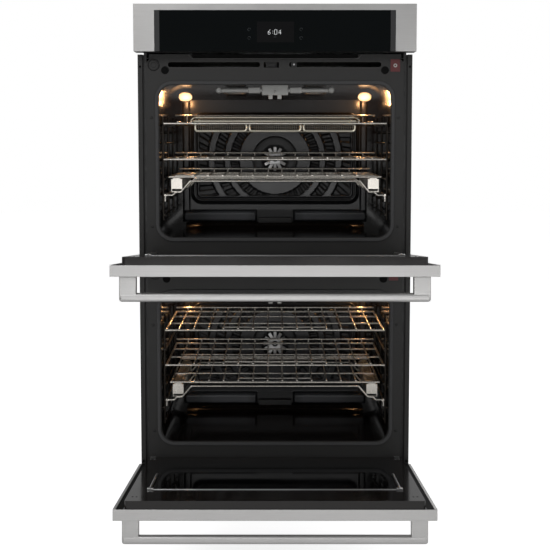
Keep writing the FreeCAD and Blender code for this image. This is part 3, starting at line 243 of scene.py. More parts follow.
# Each look: what varies over the surface, then the constants of its shader.
LOOKS = {
    "stainless": (brushed((0.40, 0.395, 0.39), (0.56, 0.555, 0.55), LENGTHWISE), METAL),
    "dark_steel": (coated((0.0125, 0.0122, 0.0118), (0.021, 0.0205, 0.0198), 0.42), sheen_of(0.35)),
    "lip_steel": (coated((0.034, 0.033, 0.032), (0.048, 0.047, 0.045), 0.3), {}),
    # Also the finish of the painted shade blocks in the air guide's mouth and the doors' recesses.
    "black_rubber": (coated((0.0015, 0.0015, 0.0015), (0.004, 0.004, 0.004), 0.6), sheen_of(0.08)),
    "enamel": (coated((0.0030, 0.0022, 0.0019), (0.0075, 0.0052, 0.0042), 0.06, 1500, 0.00001),
               sheen_of(0.45)),
    "cover_enamel": (cover_enamel, sheen_of(0.4)),
    "black_glass": (glazed((0.0008, 0.0016, 0.0019), (0.0016, 0.0028, 0.0032), 0.03), sheen_of(0.12)),
    "door_glass": (glazed((0.0010, 0.0011, 0.0012), (0.0022, 0.0023, 0.0025), 0.03), sheen_of(0.4)),
    "bright_wire": (plated((0.50, 0.47, 0.42), (0.72, 0.69, 0.64), 0.2), METAL),
    "cream_wire": (plated((0.56, 0.52, 0.42), (0.78, 0.74, 0.62), 0.3), {"Metallic": 0.7}),
    "mesh_wire": (plated((0.34, 0.32, 0.28), (0.52, 0.49, 0.44), 0.3), METAL),
    "guide_wire": (plated((0.022, 0.019, 0.017), (0.05, 0.044, 0.038), 0.28), METAL),
    "hinge_steel": (plated((0.30, 0.30, 0.30), (0.55, 0.55, 0.55), 0.25), METAL),
    "fan_metal": (brushed((0.45, 0.45, 0.45), (0.70, 0.70, 0.70)), {"Metallic": 0.8}),
    "fan_dark": (coated((0.006, 0.006, 0.006), (0.012, 0.012, 0.012), 0.5), {}),
    "heater": (coated((0.32, 0.32, 0.31), (0.5, 0.5, 0.48), 0.4, 600), {"Metallic": 0.2}),
    "galvanised": (painted_front, {}),
    "blanket": (wool, {"Sheen Weight": 0.2}),
    "gasket": (woven, {}),
    "board_plastic": (coated((0.015, 0.015, 0.016), (0.04, 0.04, 0.042), 0.5, 700), {}),
    "lamp_glass": (glowing, {"Emission Strength": 1.5}),
    "display": (lit, {"Emission Strength": 0.9}),
    "faint_print": (coated((0.03, 0.035, 0.038), (0.05, 0.055, 0.06), 0.5, 900), {}),
    "red_enamel": (coated((0.075, 0.004, 0.006), (0.11, 0.008, 0.010), 0.4, 900), {}),
    "display_glass": (glazed((0.0045, 0.0045, 0.005), (0.006, 0.006, 0.0065), 0.1), sheen_of(0.12)),
    "glass_edge": (coated((0.03, 0.03, 0.031), (0.042, 0.042, 0.043), 0.35, 900), sheen_of(0.2)),
}
FINISHES = {name: finish_of(name, *look) for name, look in LOOKS.items()}
FINISH_OF_NODE = {f"{oven}_{node}": finish for oven in OVENS for node, finish in
                  (("fan_wheel", "fan_dark"), ("latch_bolt", "fan_dark"), ("door_inner_glass", "door_glass"))}
for part in frame["record"]["subparts"]:
    node = frame["nodes"][part["node"]]
    node.data.materials.clear()
    node.data.materials.append(FINISHES[FINISH_OF_NODE.get(part["node"], part["material_slot"])])


# ---------------------------------------------------------------- surfaces
def grid_faces(rows, columns, wrapped):
    """Four-sided faces of a grid of points, joined round in columns where it wraps."""
    i, j = np.meshgrid(np.arange(rows - 1), np.arange(columns if wrapped else columns - 1), indexing="ij")
    k = (j + 1) % columns
    return np.stack([i * columns + j, i * columns + k, (i + 1) * columns + k, (i + 1) * columns + j],
                    -1).reshape(-1, 4)


SHARP_ANGLE, BEVEL_ANGLE = math.radians(35), math.radians(30)


def linked(name, data):
    """A new object in the scene."""
    made = bpy.data.objects.new(name, data)
    bpy.context.scene.collection.objects.link(made)
    return made


def piece(name, surfaces, body, finish, nodes=(), closed=True):
    """One object from (points, wrapped) grids. Closed shells get their poles merged and face outwards."""
    points, faces, start = [], [], 0
    for grid, wrapped in surfaces:
        rows, columns = grid.shape[:2]
        points.append(grid.reshape(-1, 3))
        faces.append(grid_faces(rows, columns, wrapped) + start)
        start += rows * columns
    mesh = bpy.data.meshes.new(name)
    mesh.from_pydata(np.vstack(points).tolist(), [], np.vstack(faces).tolist())
    tidy = bmesh.new()
    tidy.from_mesh(mesh)
    bmesh.ops.remove_doubles(tidy, verts=tidy.verts, dist=1e-6)
    bmesh.ops.dissolve_degenerate(tidy, edges=tidy.edges, dist=1e-7)
    if closed:
        bmesh.ops.recalc_face_normals(tidy, faces=tidy.faces)
    tidy.to_mesh(mesh)
    tidy.free()
    mesh.shade_smooth()
    mesh.set_sharp_from_angle(angle=SHARP_ANGLE)
    made = linked(name, mesh)
    mesh.materials.append(FINISHES[finish])
    if body:
        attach(made, body)
    if nodes:
        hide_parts(*nodes)
    flatten(made)
    return made


def flatten(made):
    """Shades by face area, so that wide flat faces beside small rounded edges stay flat."""
    normals = made.modifiers.new("normals", "WEIGHTED_NORMAL")
    normals.weight, normals.keep_sharp = 100, True


def block(low, high, edge=0.001, steps=3):
    """A box with rounded edges: corners of a smaller box, plus the edge's radius times a sphere direction."""
    low, high = np.asarray(low, float), np.asarray(high, float)
    centre, half = (low + high) / 2, (high - low) / 2 - edge
    quarter = np.linspace(0, math.pi / 2, steps)
    round_angle = np.concatenate([quarter + k * math.pi / 2 for k in range(4)])
    sign_x = np.repeat([1, -1, -1, 1], steps)
    sign_y = np.repeat([1, 1, -1, -1], steps)
    lift = np.concatenate([quarter - math.pi / 2, quarter])
    sign_z = np.repeat([-1, 1], steps)
    flat = np.cos(lift)[:, None]
    x = sign_x * half[0] + edge * flat * np.cos(round_angle)
    y = sign_y * half[1] + edge * flat * np.sin(round_angle)
    z = (sign_z * half[2] + edge * np.sin(lift))[:, None] + 0 * x
    rows = centre + np.stack([x, y, z], -1)
    poles = [np.broadcast_to(rows[k].mean(0), rows[k].shape) for k in (0, -1)]
    return np.concatenate([poles[0][None], rows, poles[1][None]]), True


def bent(corners, radius, steps=6):
    """A path through corners, each rounded by a parabola that starts and ends a radius away."""
    corners = np.asarray(corners, float)
    blend = np.linspace(0, 1, steps)[:, None]
    path = [corners[:1]]
    for before, corner, after in zip(corners, corners[1:], corners[2:]):
        back, on = before - corner, after - corner
        reach = min(radius, np.linalg.norm(back) / 2.01, np.linalg.norm(on) / 2.01)
        first = corner + back / np.linalg.norm(back) * reach
        last = corner + on / np.linalg.norm(on) * reach
        path.append((1 - blend) ** 2 * first + 2 * blend * (1 - blend) * corner + blend ** 2 * last)
    return np.vstack(path + [corners[-1:]])


def tube(path, radius, sides=10):
    """A circle carried along a flat path, closed by a point at each end."""
    path = np.asarray(path, float)
    along = np.gradient(path, axis=0)
    along /= np.linalg.norm(along, axis=1, keepdims=True)
    normal = np.linalg.svd(path - path.mean(0))[2][2]
    side = np.cross(along, normal)
    angle = np.linspace(0, 2 * math.pi, sides, endpoint=False)[:, None]
    ring = path[:, None] + radius * (np.cos(angle) * side[:, None] + np.sin(angle) * normal)
    ends = [np.broadcast_to(path[k], ring[k].shape)[None] for k in (0, -1)]
    return np.concatenate([ends[0], ring, ends[1]]), True


def rod(start, end, radius, sides=10):
    """A straight tube."""
    return tube(np.linspace(start, end, 3), radius, sides)


def turned(profile, centre, axis="y", sides=32):
    """A profile of (radius, height) points turned about an axis through centre."""
    radius, height = np.asarray(profile, float).T[:, :, None]
    angle = np.linspace(0, 2 * math.pi, sides, endpoint=False)
    across, up, along = radius * np.cos(angle), radius * np.sin(angle), height + 0 * angle
    order = {"x": (along, across, up), "y": (across, along, up), "z": (across, up, along)}[axis]
    return np.stack(order, -1) + np.asarray(centre, float), True


def outward(profile):
    """A turned profile with its height towards -Y."""
    return [(radius, -height) for radius, height in profile]


def softened(node, width, finish):
    """A merged copy of a CAD node whose edges are rounded by a bevel, in place of that node."""
    mesh = frame["nodes"][node].data.copy()
    tidy = bmesh.new()
    tidy.from_mesh(mesh)
    bmesh.ops.remove_doubles(tidy, verts=tidy.verts, dist=1e-6)
    bmesh.ops.dissolve_limit(tidy, angle_limit=math.radians(0.5), verts=tidy.verts, edges=tidy.edges)
    tidy.to_mesh(mesh)
    tidy.free()
    made = linked(node + "_soft", mesh)
    mesh.materials.clear()
    mesh.materials.append(FINISHES[finish])
    bevel = made.modifiers.new("edges", "BEVEL")
    bevel.width, bevel.segments, bevel.limit_method = width, 2, "ANGLE"
    bevel.angle_limit = BEVEL_ANGLE
    flatten(made)
    body = next(b for b, nodes in frame["record"]["behaviour"]["bodies"].items() if node in nodes)
    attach(made, body)
    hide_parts(node)


# ---------------------------------------------------------------- measures taken from the frame
LOW, HIGH = 0, 1


def at(node, corner, axis):
    """One side of a node's box: corner is LOW or HIGH, and axis is 0, 1 or 2."""
    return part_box(node)[corner][axis]


PANEL_FACE = at("control_fascia", LOW, 1)
FRAME_FRONT = {oven: at(oven + "_front_frame", LOW, 1) for oven in OVENS}
OPENING_FLOOR = {oven: at(oven + "_cavity", LOW, 2) + 0.0065 for oven in OVENS}
COVER_FACE = at("upper_fan_cover", LOW, 1)
FAN_HEIGHT = {oven: (at(oven + "_fan_wheel", LOW, 2) + at(oven + "_fan_wheel", HIGH, 2)) / 2
              for oven in OVENS}
BACK_WALL = at("upper_fan_cover", HIGH, 1)


# ---------------------------------------------------------------- control panel
# Clock figures as single strokes: corners on a cell 1 wide and 2 high.
STROKES = {
    "6": [(0.9, 2), (0.1, 1.1), (0, 0.6), (0.25, 0.05), (0.75, 0.05), (1, 0.5), (0.75, 1), (0.15, 1)],
    "0": [(0.15, 0), (0, 0.2), (0, 1.8), (0.15, 2), (0.85, 2), (1, 1.8), (1, 0.2), (0.85, 0), (0.1, 0)],
    "4": [(0.75, 0), (0.75, 2), (0, 0.65), (1.05, 0.65)],
}
CELL_WIDE, CELL_HIGH = 0.0068, 0.0062


def control_panel():
    """Glass strips at the sides, the display window, its lit figures, and faint touch marks beside it."""
    front = PANEL_FACE + 0.0005
    glass_low, glass_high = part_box("control_glass")
    strip = 0.014
    for side, edge, name in ((-1, glass_low[0], "left"), (1, glass_high[0], "right")):
        low = min(edge, edge - side * strip)
        piece(f"panel_glass_strip_{name}",
              [block((low, front - 0.0006, glass_low[2] + 0.0005),
                     (low + strip, front + 0.0002, glass_high[2] - 0.0003), 0.0002)], "chassis", "glass_edge")
    middle, left = glass_low[2] + 0.0455, -0.0190
    grids = []
    for figure, shift in (("6", 0), ("0", 0.0175), ("4", 0.0285)):
        corners = [(left + shift + x * CELL_WIDE, front - 0.0003, middle + z * CELL_HIGH)
                   for x, z in STROKES[figure]]
        grids.append(tube(bent(corners, 0.0015), 0.00034, 8))
    for drop in (0.5, 1.4):
        x, z = left + 0.0128, middle + drop * CELL_HIGH
        grids.append(block((x - 0.0005, front - 0.0008, z - 0.0005), (x + 0.0005, front, z + 0.0005), 0.0002))
    piece("panel_clock_figures", grids, "chassis", "display")
    window = block((-0.0485, front - 0.0001, middle - 0.021),
                   (0.0505, front + 0.0004, middle + 0.034), 0.0001)
    piece("panel_display_window", [window], "chassis", "display_glass")
    turn, radius = np.linspace(0, 5.2, 20), 0.0038
    depth = front - 0.0002
    arc = np.stack([radius * np.cos(turn), 0 * turn, radius * np.sin(turn)], -1)
    marks = [tube(arc + (x, depth, middle + up), 0.0004, 6)
             for x in (-0.0695, 0.0705) for up in (0.013, -0.0095)]
    marks.append(rod((-0.004, depth, middle - 0.007), (0.004, depth, middle - 0.007), 0.0006, 6))
    piece("panel_touch_marks", marks, "chassis", "faint_print")


# ---------------------------------------------------------------- oven fronts
PLUG_X, PLUG_ABOVE = -0.3326, 0.4737
PEEP_X, PEEP_ABOVE = 0.3015, 0.4595
TAG_X, TAG_ABOVE = 0.3295, 0.4725


def front_details(oven):
    """On the front frame: a round plug with two dark rings, a tag with a ring, screws at the sides and the
    plugs of the peep holes."""
    floor, face = OPENING_FLOOR[oven], FRAME_FRONT[oven]
    profile = [(0.0, 0.0015), (0.0118, 0.0015), (0.0124, 0.0006), (0.0136, 0.0006), (0.0142, 0.0016),
               (0.0155, 0.0016), (0.0162, 0.0), (0.0162, -0.0004), (0.0, -0.0004)]
    centre = (PLUG_X, face, floor + PLUG_ABOVE)
    bar = block((PLUG_X - 0.0055, face - 0.0021, centre[2] - 0.0006), (PLUG_X + 0.0055, face - 0.001,
                                                                     centre[2] + 0.0006), 0.0003)
    piece(f"{oven}_frame_plug", [turned(outward(profile), centre), bar], "chassis", "dark_steel")
    rings = [turned([(r - 0.0005, 0), (r, -0.0016), (r + 0.0009, -0.0016), (r + 0.0014, 0)], centre)
             for r in (0.0066, 0.0148)]
    piece(f"{oven}_frame_plug_rings", rings, "chassis", "black_rubber", closed=False)
    tag = block((TAG_X - 0.013, face - 0.0012, floor + TAG_ABOVE - 0.017),
                (TAG_X + 0.013, face + 0.0002, floor + TAG_ABOVE + 0.017), 0.0005)
    piece(f"{oven}_frame_tag", [tag], "chassis", "red_enamel")
    profile = [(0.0024, 0), (0.0026, -0.0020), (0.0050, -0.0020), (0.0052, 0)]
    piece(f"{oven}_frame_tag_ring", [turned(profile, (TAG_X, face, floor + TAG_ABOVE))], "chassis", "heater",
          closed=False)
    head = [(0, 0.0016), (0.0018, 0.0016), (0.0019, 0.0009), (0.0022, 0.0018), (0.0036, 0.0012), (0.0042, 0),
            (0.0, -0.0003)]
    screws = [turned(outward(head), (side * 0.340, face, floor + z), sides=16) for side in (-1, 1)
              for z in (0.330, 0.03)]
    piece(f"{oven}_frame_screws", screws, "chassis", "dark_steel")
    dome = [(0, 0.0022), (0.004, 0.002), (0.0072, 0.0012), (0.0102, 0.0010), (0.0108, 0), (0.0, -0.0004)]
    plugs = [turned(outward(dome), (side * PEEP_X, face, floor + PEEP_ABOVE), sides=24) for side in (-1, 1)]
    piece(f"{oven}_peep_plugs", plugs, "chassis", "black_rubber")


def trim_caps():
    """Domed caps over the screw holes in the side trims."""
    low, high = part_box("side_trims")
    dome = [(0, 0.0014), (0.002, 0.0012), (0.0034, 0.0002), (0.0034, 0), (0.0, -0.0003)]
    caps = [turned(outward(dome), (side * (high[0] - 0.00625), low[1], z), sides=16)
            for side in (-1, 1) for z in (0.03, 1.13)]
    piece("side_trim_caps", caps, "chassis", "black_rubber")


def air_guide_lip():
    """A rolled lip under the cooling air's mouth, turned up at its ends, and painted shade in the mouth."""
    face, floor = FRAME_FRONT["upper"], at("air_guide", LOW, 2)
    half, end = 0.227, 0.236
    corners = [(-end, face - 0.0015, floor + 0.0095), (-half, face - 0.0015, floor - 0.0022),
               (half, face - 0.0015, floor - 0.0022), (end, face - 0.0015, floor + 0.0095)]
    piece("air_guide_lip", [tube(bent(corners, 0.007), 0.0019, 10)], "chassis", "lip_steel")
    # Painted shade: a flat black block stands for the shadow inside the mouth.
    mouth = block((-0.2275, face - 0.0010, floor - 0.0005), (0.2275, face + 0.0005, floor + 0.0098), 0.0004)
    piece("air_guide_mouth_painted_shade", [mouth], "chassis", "black_rubber")


# ---------------------------------------------------------------- fan cover
RAISED_BANDS, BAND_EDGE = ((0.185, 0.207), (0.136, 0.157), (0.068, 0.111)), 0.0035


def raised_share(reach):
    """1 on the cover's raised bands, which are rings about the fan, and 0 between them."""
    return np.max([step(reach, low, BAND_EDGE) * (1 - step(reach, high, BAND_EDGE))
                   for low, high in RAISED_BANDS], 0)


def step(value, edge, soft):
    """0 below the edge and 1 above it, smooth over soft."""
    t = np.clip((value - edge) / soft + 0.5, 0, 1)
    return t * t * (3 - 2 * t)


def rounded_distance(x, z, half_x, half_z, radius):
    """Distance outside a rounded rectangle, negative inside."""
    dx, dz = np.abs(x) - half_x + radius, np.abs(z) - half_z + radius
    return np.hypot(np.maximum(dx, 0), np.maximum(dz, 0)) + np.minimum(np.maximum(dx, dz), 0) - radius


def fan_cover(oven):
    """The cover's face as a height over a flat grid: a rounded plateau with a border channel, ring bands
    about the fan, short slots between the bands, and the duct ledge below with a notch in its middle. Each
    height is a smooth step of the distance from its outline."""
    low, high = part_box(oven + "_fan_cover")
    fan, pitch, inset = FAN_HEIGHT[oven], 0.0022, 0.0002
    x, z = np.meshgrid(np.arange(low[0] + inset, high[0], pitch), np.arange(low[2] + inset, high[2], pitch))
    z = z - fan
    plateau = rounded_distance(x, z, 0.2612, 0.1408, 0.034)
    depth = 0.0415 * (1 - step(plateau, -0.006, 0.012))
    border = np.abs(plateau + 0.019)
    depth -= 0.004 * (1 - step(border, 0.003, 0.003))
    inner = step(-plateau, 0.028, 0.004)
    reach, turn = np.hypot(x, z), np.arctan2(z, x)
    raised = raised_share(reach) * inner
    depth += 0.0035 * raised - 0.0035 * inner
    gap = inner * (1 - raised) * step(reach, 0.06, 0.004)
    slots = step(np.cos(turn * 44 + reach * 60), 0.1, 0.5) * gap * step(reach, 0.108, 0.004)
    depth -= 0.003 * slots
    ledge_height = low[2] + 0.019 - fan
    ledge = rounded_distance(x, z - ledge_height, 0.2875, 0.0188, 0.014)
    notch = rounded_distance(x, z - (low[2] + 0.010 - fan), 0.060, 0.028, 0.008)
    shelf = 0.0237 * (1 - step(ledge, -0.004, 0.008))
    shelf *= step(notch, 0.0, 0.005)
    depth = np.maximum(depth, shelf)
    strips = step(np.abs(x), 0.266, 0.004) * (1 - step(np.abs(x), 0.285, 0.004))
    depth = np.maximum(depth, 0.006 * strips)
    grid = np.stack([x, BACK_WALL - 0.0008 - depth, z + fan], -1)
    grid[..., 1] = np.maximum(grid[..., 1], COVER_FACE + 0.0003)
    made = cover_mesh(f"{oven}_fan_cover_face", grid, reach > 0.0425)
    hub, channel = 1 - step(reach, 0.066, 0.004), 1 - step(border, 0.002, 0.003)
    mouth = 1 - step(notch, 0.0, 0.004)
    # Painted shade: the gaps between bands, the slots, the hub ring, the border channel and the ledge's notch
    # are made darker in colour.
    sunk = np.clip(gap * 0.75 + slots + hub * 0.6 + channel * 0.8 + mouth * 0.8, 0, 1)
    # Painted highlight: the ledge's colour is made lighter, most of all in two patches left and right of its
    # middle.
    painted_ledge_highlight = (shelf > 0.012) * (plateau > 0.004) * (1 - step(np.abs(z - ledge_height), 0.017, 0.006))
    sunk -= painted_ledge_highlight * (1.5 + 2.2 * step(np.abs(x), 0.08, 0.05) * (1 - step(np.abs(x), 0.22, 0.12)))
    layer = made.data.attributes.new("sunk", "FLOAT", "POINT")
    layer.data.foreach_set("value", sunk.ravel())
    loose = bmesh.new()
    loose.from_mesh(made.data)
    bmesh.ops.delete(loose, geom=[v for v in loose.verts if not v.link_faces], context="VERTS")
    loose.to_mesh(made.data)
    loose.free()
    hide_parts(oven + "_fan_cover")


def cover_mesh(name, grid, keep):
    """A front surface from a height grid, without the faces where keep is false."""
    rows, columns = grid.shape[:2]
    faces = grid_faces(rows, columns, False)
    faces = faces[keep.ravel()[faces].all(1)]
    mesh = bpy.data.meshes.new(name)
    mesh.from_pydata(grid.reshape(-1, 3).tolist(), [], faces.tolist())
    mesh.shade_smooth()
    made = linked(name, mesh)
    mesh.materials.append(FINISHES["cover_enamel"])
    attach(made, "chassis")
    return made


SPOKES, SPOKE_HALF = 12, 0.0043


def fan_star(oven):
    """The fan's hub behind the cover: a square hub plate with a washer and a nut in its middle, and bright
    spokes. A spoke is a four-sided section carried outwards from the hub and closed at both ends."""
    fan = FAN_HEIGHT[oven]
    nose = at(oven + "_fan_wheel", LOW, 1)
    front = (0, nose - 0.0035, fan)
    washer = [(0.0048, 0.0002), (0.0048, -0.0005), (0.0092, -0.0005), (0.0092, 0.0002)]
    piece(f"{oven}_fan_washer", [turned(washer, front, sides=24)], f"{oven}_fan", "fan_dark", closed=False)
    nut = [(0, -0.0024), (0.0036, -0.0022), (0.0042, -0.0012), (0.0042, 0.0006), (0, 0.0006)]
    grids = [block((-0.0165, nose - 0.0035, fan - 0.0165), (0.0165, nose - 0.0003, fan + 0.0165), 0.002),
             turned(nut, front, sides=6)]
    along = np.linspace(0.012, 0.036, 5)[:, None, None]
    wide = SPOKE_HALF * np.array([-1, 1, 1, -1])[:, None]
    thick = np.array([0.009, 0.007, 0.012, 0.014])[:, None] * np.array([0, 1, 0])
    for angle in 2 * math.pi * np.arange(SPOKES) / SPOKES:
        out = np.array([math.cos(angle), 0, math.sin(angle)])
        across = np.array([-math.sin(angle), 0, math.cos(angle)])
        rows = np.array([0, COVER_FACE, fan]) + along * out + wide * across + thick
        first, last = (np.broadcast_to(rows[k].mean(0), (1, 4, 3)) for k in (0, -1))
        grids.append((np.concatenate([first, rows, last]), True))
    piece(f"{oven}_fan_spokes", grids, f"{oven}_fan", "fan_metal")


# ---------------------------------------------------------------- heater, lamps and the cavity's coves
def broil_heater(oven):
    """The broil element's long loops, and the bar they hang from: a rounded bar with end bosses, a deeper
    block in its middle with a screw, a block at each side of it and two lugs below."""
    low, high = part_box(oven + "_broil_element")
    back, ceiling = high[1] - 0.004, high[2]
    z, fold, front = low[2] + 0.012, 0.120, 0.060
    half = [(-0.030, back, z), (-0.030, fold, z), (-0.090, fold, z), (-0.090, back, z), (-0.150, back, z),
            (-0.150, front, z)]
    corners = half + [(-x, y, z) for x, y, z in reversed(half)]
    piece(f"{oven}_broil_loops", [tube(bent(corners, 0.022, 8), 0.004, 10)], "chassis", "heater",
          [oven + "_broil_element"])
    y = low[1]
    bar = [block((-0.160, y + 0.001, ceiling - 0.0235), (0.160, y + 0.012, ceiling - 0.011), 0.005, 5)]
    boss = [(0, -0.004), (0.006, -0.0035), (0.0088, 0), (0.0088, 0.012), (0, 0.013)]
    for x in (-0.157, 0.157):
        bar.append(turned(boss, (x, y + 0.001, ceiling - 0.0165), sides=20))
    bar.append(block((-0.037, y - 0.001, ceiling - 0.031), (0.037, y + 0.014, ceiling - 0.001), 0.003, 4))
    for x in (-0.058, 0.058):
        bar.append(block((x - 0.017, y, ceiling - 0.0255), (x + 0.017, y + 0.013, ceiling - 0.008), 0.003, 4))
    for x in (-0.0125, 0.0125):
        bar.append(block((x - 0.006, y + 0.001, ceiling - 0.042),
                         (x + 0.006, y + 0.009, ceiling - 0.028), 0.002, 4))
    screw = [(0, -0.0034), (0.0022, -0.003), (0.0034, -0.0012), (0.0036, 0.001), (0, 0.001)]
    bar.append(turned(screw, (0, y - 0.001, ceiling - 0.021), sides=16))
    piece(f"{oven}_broil_bracket", bar, "chassis", "heater")


LAMP_X, LAMP_ABOVE = 0.277, 0.3995
LENS_HALF_X, LENS_HALF_Z = 0.0205, 0.0133
BETWEEN_OVENS = 0.7


def lamp_lenses():
    """Four pillowed lenses, each in a thin ring. A lens is a rounded rectangle whose depth follows a circle's
    arc from rim to middle. An attribute falls with the square of the distance from its middle."""
    low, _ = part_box("lamps")
    y = low[1] + 0.006
    round_lens = np.linspace(0, 2 * math.pi, 40, endpoint=False)
    share, turn = np.meshgrid(np.linspace(0, 1, 12), round_lens, indexing="ij")
    square = (np.abs(np.cos(turn)) ** 3 + np.abs(np.sin(turn)) ** 3) ** (-1 / 3)
    lens = np.stack([LENS_HALF_X * share * square * np.cos(turn),
                     -0.0055 * np.sqrt(np.maximum(1 - share ** 2, 0)),
                     LENS_HALF_Z * share * square * np.sin(turn)], -1)
    turn = np.linspace(0, 2 * math.pi, 40)
    rim = np.stack([1.03 * LENS_HALF_X * np.cos(turn), 0 * turn, 1.06 * LENS_HALF_Z * np.sin(turn)], -1)
    centres = [np.array([side * LAMP_X, y, OPENING_FLOOR[oven] + LAMP_ABOVE])
               for oven in OVENS for side in (-1, 1)]
    made = piece("lamp_lenses", [(centre + lens, True) for centre in centres], "chassis", "lamp_glass",
                 ["lamps"], closed=False)
    spots = np.empty(3 * len(made.data.vertices))
    made.data.vertices.foreach_get("co", spots)
    x, _, z = spots.reshape(-1, 3).T
    middle = np.where(z > BETWEEN_OVENS, OPENING_FLOOR["upper"], OPENING_FLOOR["lower"]) + LAMP_ABOVE
    away = np.hypot((np.abs(x) - LAMP_X) / LENS_HALF_X, (z - middle) / LENS_HALF_Z)
    layer = made.data.attributes.new("glow", "FLOAT", "POINT")
    layer.data.foreach_set("value", np.clip(1 - away ** 2 * 0.8, 0, 1))
    piece("lamp_rings", [tube(centre + rim, 0.0018, 8) for centre in centres], "chassis", "hinge_steel")


def cavity_coves(oven):
    """The sloping corner under the ledge: a shallow arc, 28 degrees of a circle about its middle slope of 45,
    carried across the cavity. A dark plug stands in the ledge's notch."""
    floor, wall = OPENING_FLOOR[oven] - 0.0045, BACK_WALL
    reach = at(oven + "_cavity", HIGH, 0) - 0.044
    chord, half_turn = 0.0226, math.radians(14)
    radius = chord / (2 * math.sin(half_turn))
    arc = math.pi / 4 + np.linspace(-half_turn, half_turn, 9)
    y, z = np.sin(arc), -np.cos(arc)
    y, z = wall - 0.0247 + radius * (y - y[-1]), floor + radius * (z - z[0])
    y, x = np.meshgrid(y, np.linspace(-reach, reach, 40), indexing="ij")
    z = np.broadcast_to(z[:, None], y.shape)
    piece(f"{oven}_cavity_cove", [(np.stack([x, y, z], -1), False)], "chassis", "enamel", closed=False)
    plug = [block((-0.052, wall - 0.0215, floor + 0.009), (0.052, wall - 0.002, floor + 0.032), 0.003, 4),
            block((-0.052, wall - 0.0225, floor + 0.019), (0.052, wall - 0.004, floor + 0.0215), 0.001)]
    piece(f"{oven}_ledge_plug", plug, "chassis", "dark_steel")


# ---------------------------------------------------------------- hanging tray
MESH_PITCH = 0.0062


def mesh_tray():
    """The tray as bent wire: a rim, three long loops in its front, hooks at its sides, and a fine mesh for
    its walls and floor."""
    low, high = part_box("upper_mesh_tray")
    half = high[0] - 0.012
    front, back, floor, rim = low[1] + 0.001, high[1] - 0.001, low[2] + 0.001, high[2] - 0.001
    grids = []
    for z, wire, inset in ((rim, 0.0018, 0), (floor, 0.0012, 0.006)):
        x, near, far = half - inset, front + inset, back - inset
        corners = [(0, near, z), (x, near, z), (x, far, z), (-x, far, z), (-x, near, z), (0.0, near, z)]
        grids.append(tube(bent(corners, 0.012), wire, 8))
    third = 2 * half / 3
    z0, z1 = floor + 0.001, floor + 0.022
    for k in range(3):
        x0 = -half + third * k + 0.004
        x1 = x0 + third - 0.008
        middle = (x0 + x1) / 2
        corners = [(middle, front, z0), (x1, front, z0), (x1, front, z1), (x0, front, z1), (x0, front, z0),
                   (middle - 0.0005, front, z0)]
        grids.append(tube(bent(corners, 0.009), 0.0026, 8))
    grids.append(rod((-half, front + 0.0018, z1 + 0.006), (half, front + 0.0018, z1 + 0.006), 0.0028, 8))
    fine = []
    for x in np.arange(-half + 0.006, half - 0.004, MESH_PITCH):
        fine.append(tube([(x, front + 0.001, rim), (x, front + 0.005, floor), (x, (front + back) / 2, floor),
                          (x, back - 0.005, floor), (x, back - 0.001, rim)], 0.0005, 4))
    for y in np.arange(front + 0.01, back - 0.006, MESH_PITCH):
        fine.append(rod((-half + 0.005, y, floor + 0.0008), (half - 0.005, y, floor + 0.0008), 0.0005, 4))
    for z in np.arange(floor + 0.006, rim, MESH_PITCH):
        for y in (front + 0.003, back - 0.003):
            fine.append(rod((-half + 0.003, y, z), (half - 0.003, y, z), 0.0004, 4))
    seat, out = low[2] + 0.0305, half + 0.011
    for side in (-1, 1):
        corners = [(side * half, front + 0.02, rim), (side * out, front + 0.02, seat),
                   (side * out, back - 0.02, seat), (side * half, back - 0.02, rim)]
        grids.append(tube(bent(corners, 0.006), 0.0018, 8))
    piece("upper_tray_wires", grids, "upper_top_rack", "cream_wire", ["upper_mesh_tray"])
    piece("upper_tray_mesh", fine, "upper_top_rack", "mesh_wire")


# ---------------------------------------------------------------- doors
OPEN = math.radians(85)


def swing(oven, points):
    """Takes points drawn about a closed door's pivot to the open door."""
    points = np.asarray(points, float)
    joint = next(j for j in frame["record"]["behaviour"]["joints"] if j["name"] == oven + "_door_hinge")
    x, y, z = points[..., 0], points[..., 1], points[..., 2]
    turned_y = y * math.cos(OPEN) - z * math.sin(OPEN)
    turned_z = y * math.sin(OPEN) + z * math.cos(OPEN)
    return np.stack([x, turned_y, turned_z], -1) + np.asarray(joint["pos_m"])


RAIL_X = 0.3055


def door_details(oven):
    """The folded steel edge at each side with a black strip beside it as painted shade in its recess, the
    rails beside the inner glass with their corner feet, the rod across its top, and small screws in the
    liner's corners."""
    def hang(name, surfaces, finish):
        swung = [(swing(oven, grid), wrapped) for grid, wrapped in surfaces]
        piece(f"{oven}_{name}", swung, f"{oven}_door", finish)

    edges, recess_shade_strips, screws, rails = [], [], [], []
    head = [(0, 0.0004), (0.0021, 0.0004), (0.0024, -0.0003), (0, -0.0003)]
    for side in (-1, 1):
        # The second kind of strip is painted shade: a flat black block where the recess beside the edge lies
        # in shadow.
        for x0, x1, rise, store in ((0.3740, 0.3808, 0.0012, edges), (0.3565, 0.3740, 0.0004, recess_shade_strips)):
            low, high = sorted((side * x0, side * x1))
            store.append(block((low, -0.0118, -0.0040), (high, -0.0115 + rise, 0.5325), 0.0003))
        for x in (0.3395, 0.3300):
            screws.append(turned(head, (side * x, 0.008, 0.487), sides=12))
        x = side * RAIL_X
        corners = [(x, 0.0085, 0.235), (x, 0.0112, 0.245), (x, 0.0112, 0.402), (x, 0.0085, 0.415)]
        rails.append(tube(bent(corners, 0.006), 0.0034, 10))
        rails.append(block((x - 0.008, 0.0078, 0.400), (x + 0.008, 0.0125, 0.414), 0.0018))
    rails.append(rod((-0.302, 0.0088, 0.412), (0.302, 0.0088, 0.412), 0.0014, 8))
    hang("door_edges", edges, "stainless")
    # Painted shade: the recess strips are black.
    hang("door_recess_shade_strips", recess_shade_strips, "black_rubber")
    hang("door_screws", screws, "black_rubber")
    hang("glass_rail", rails, "hinge_steel")


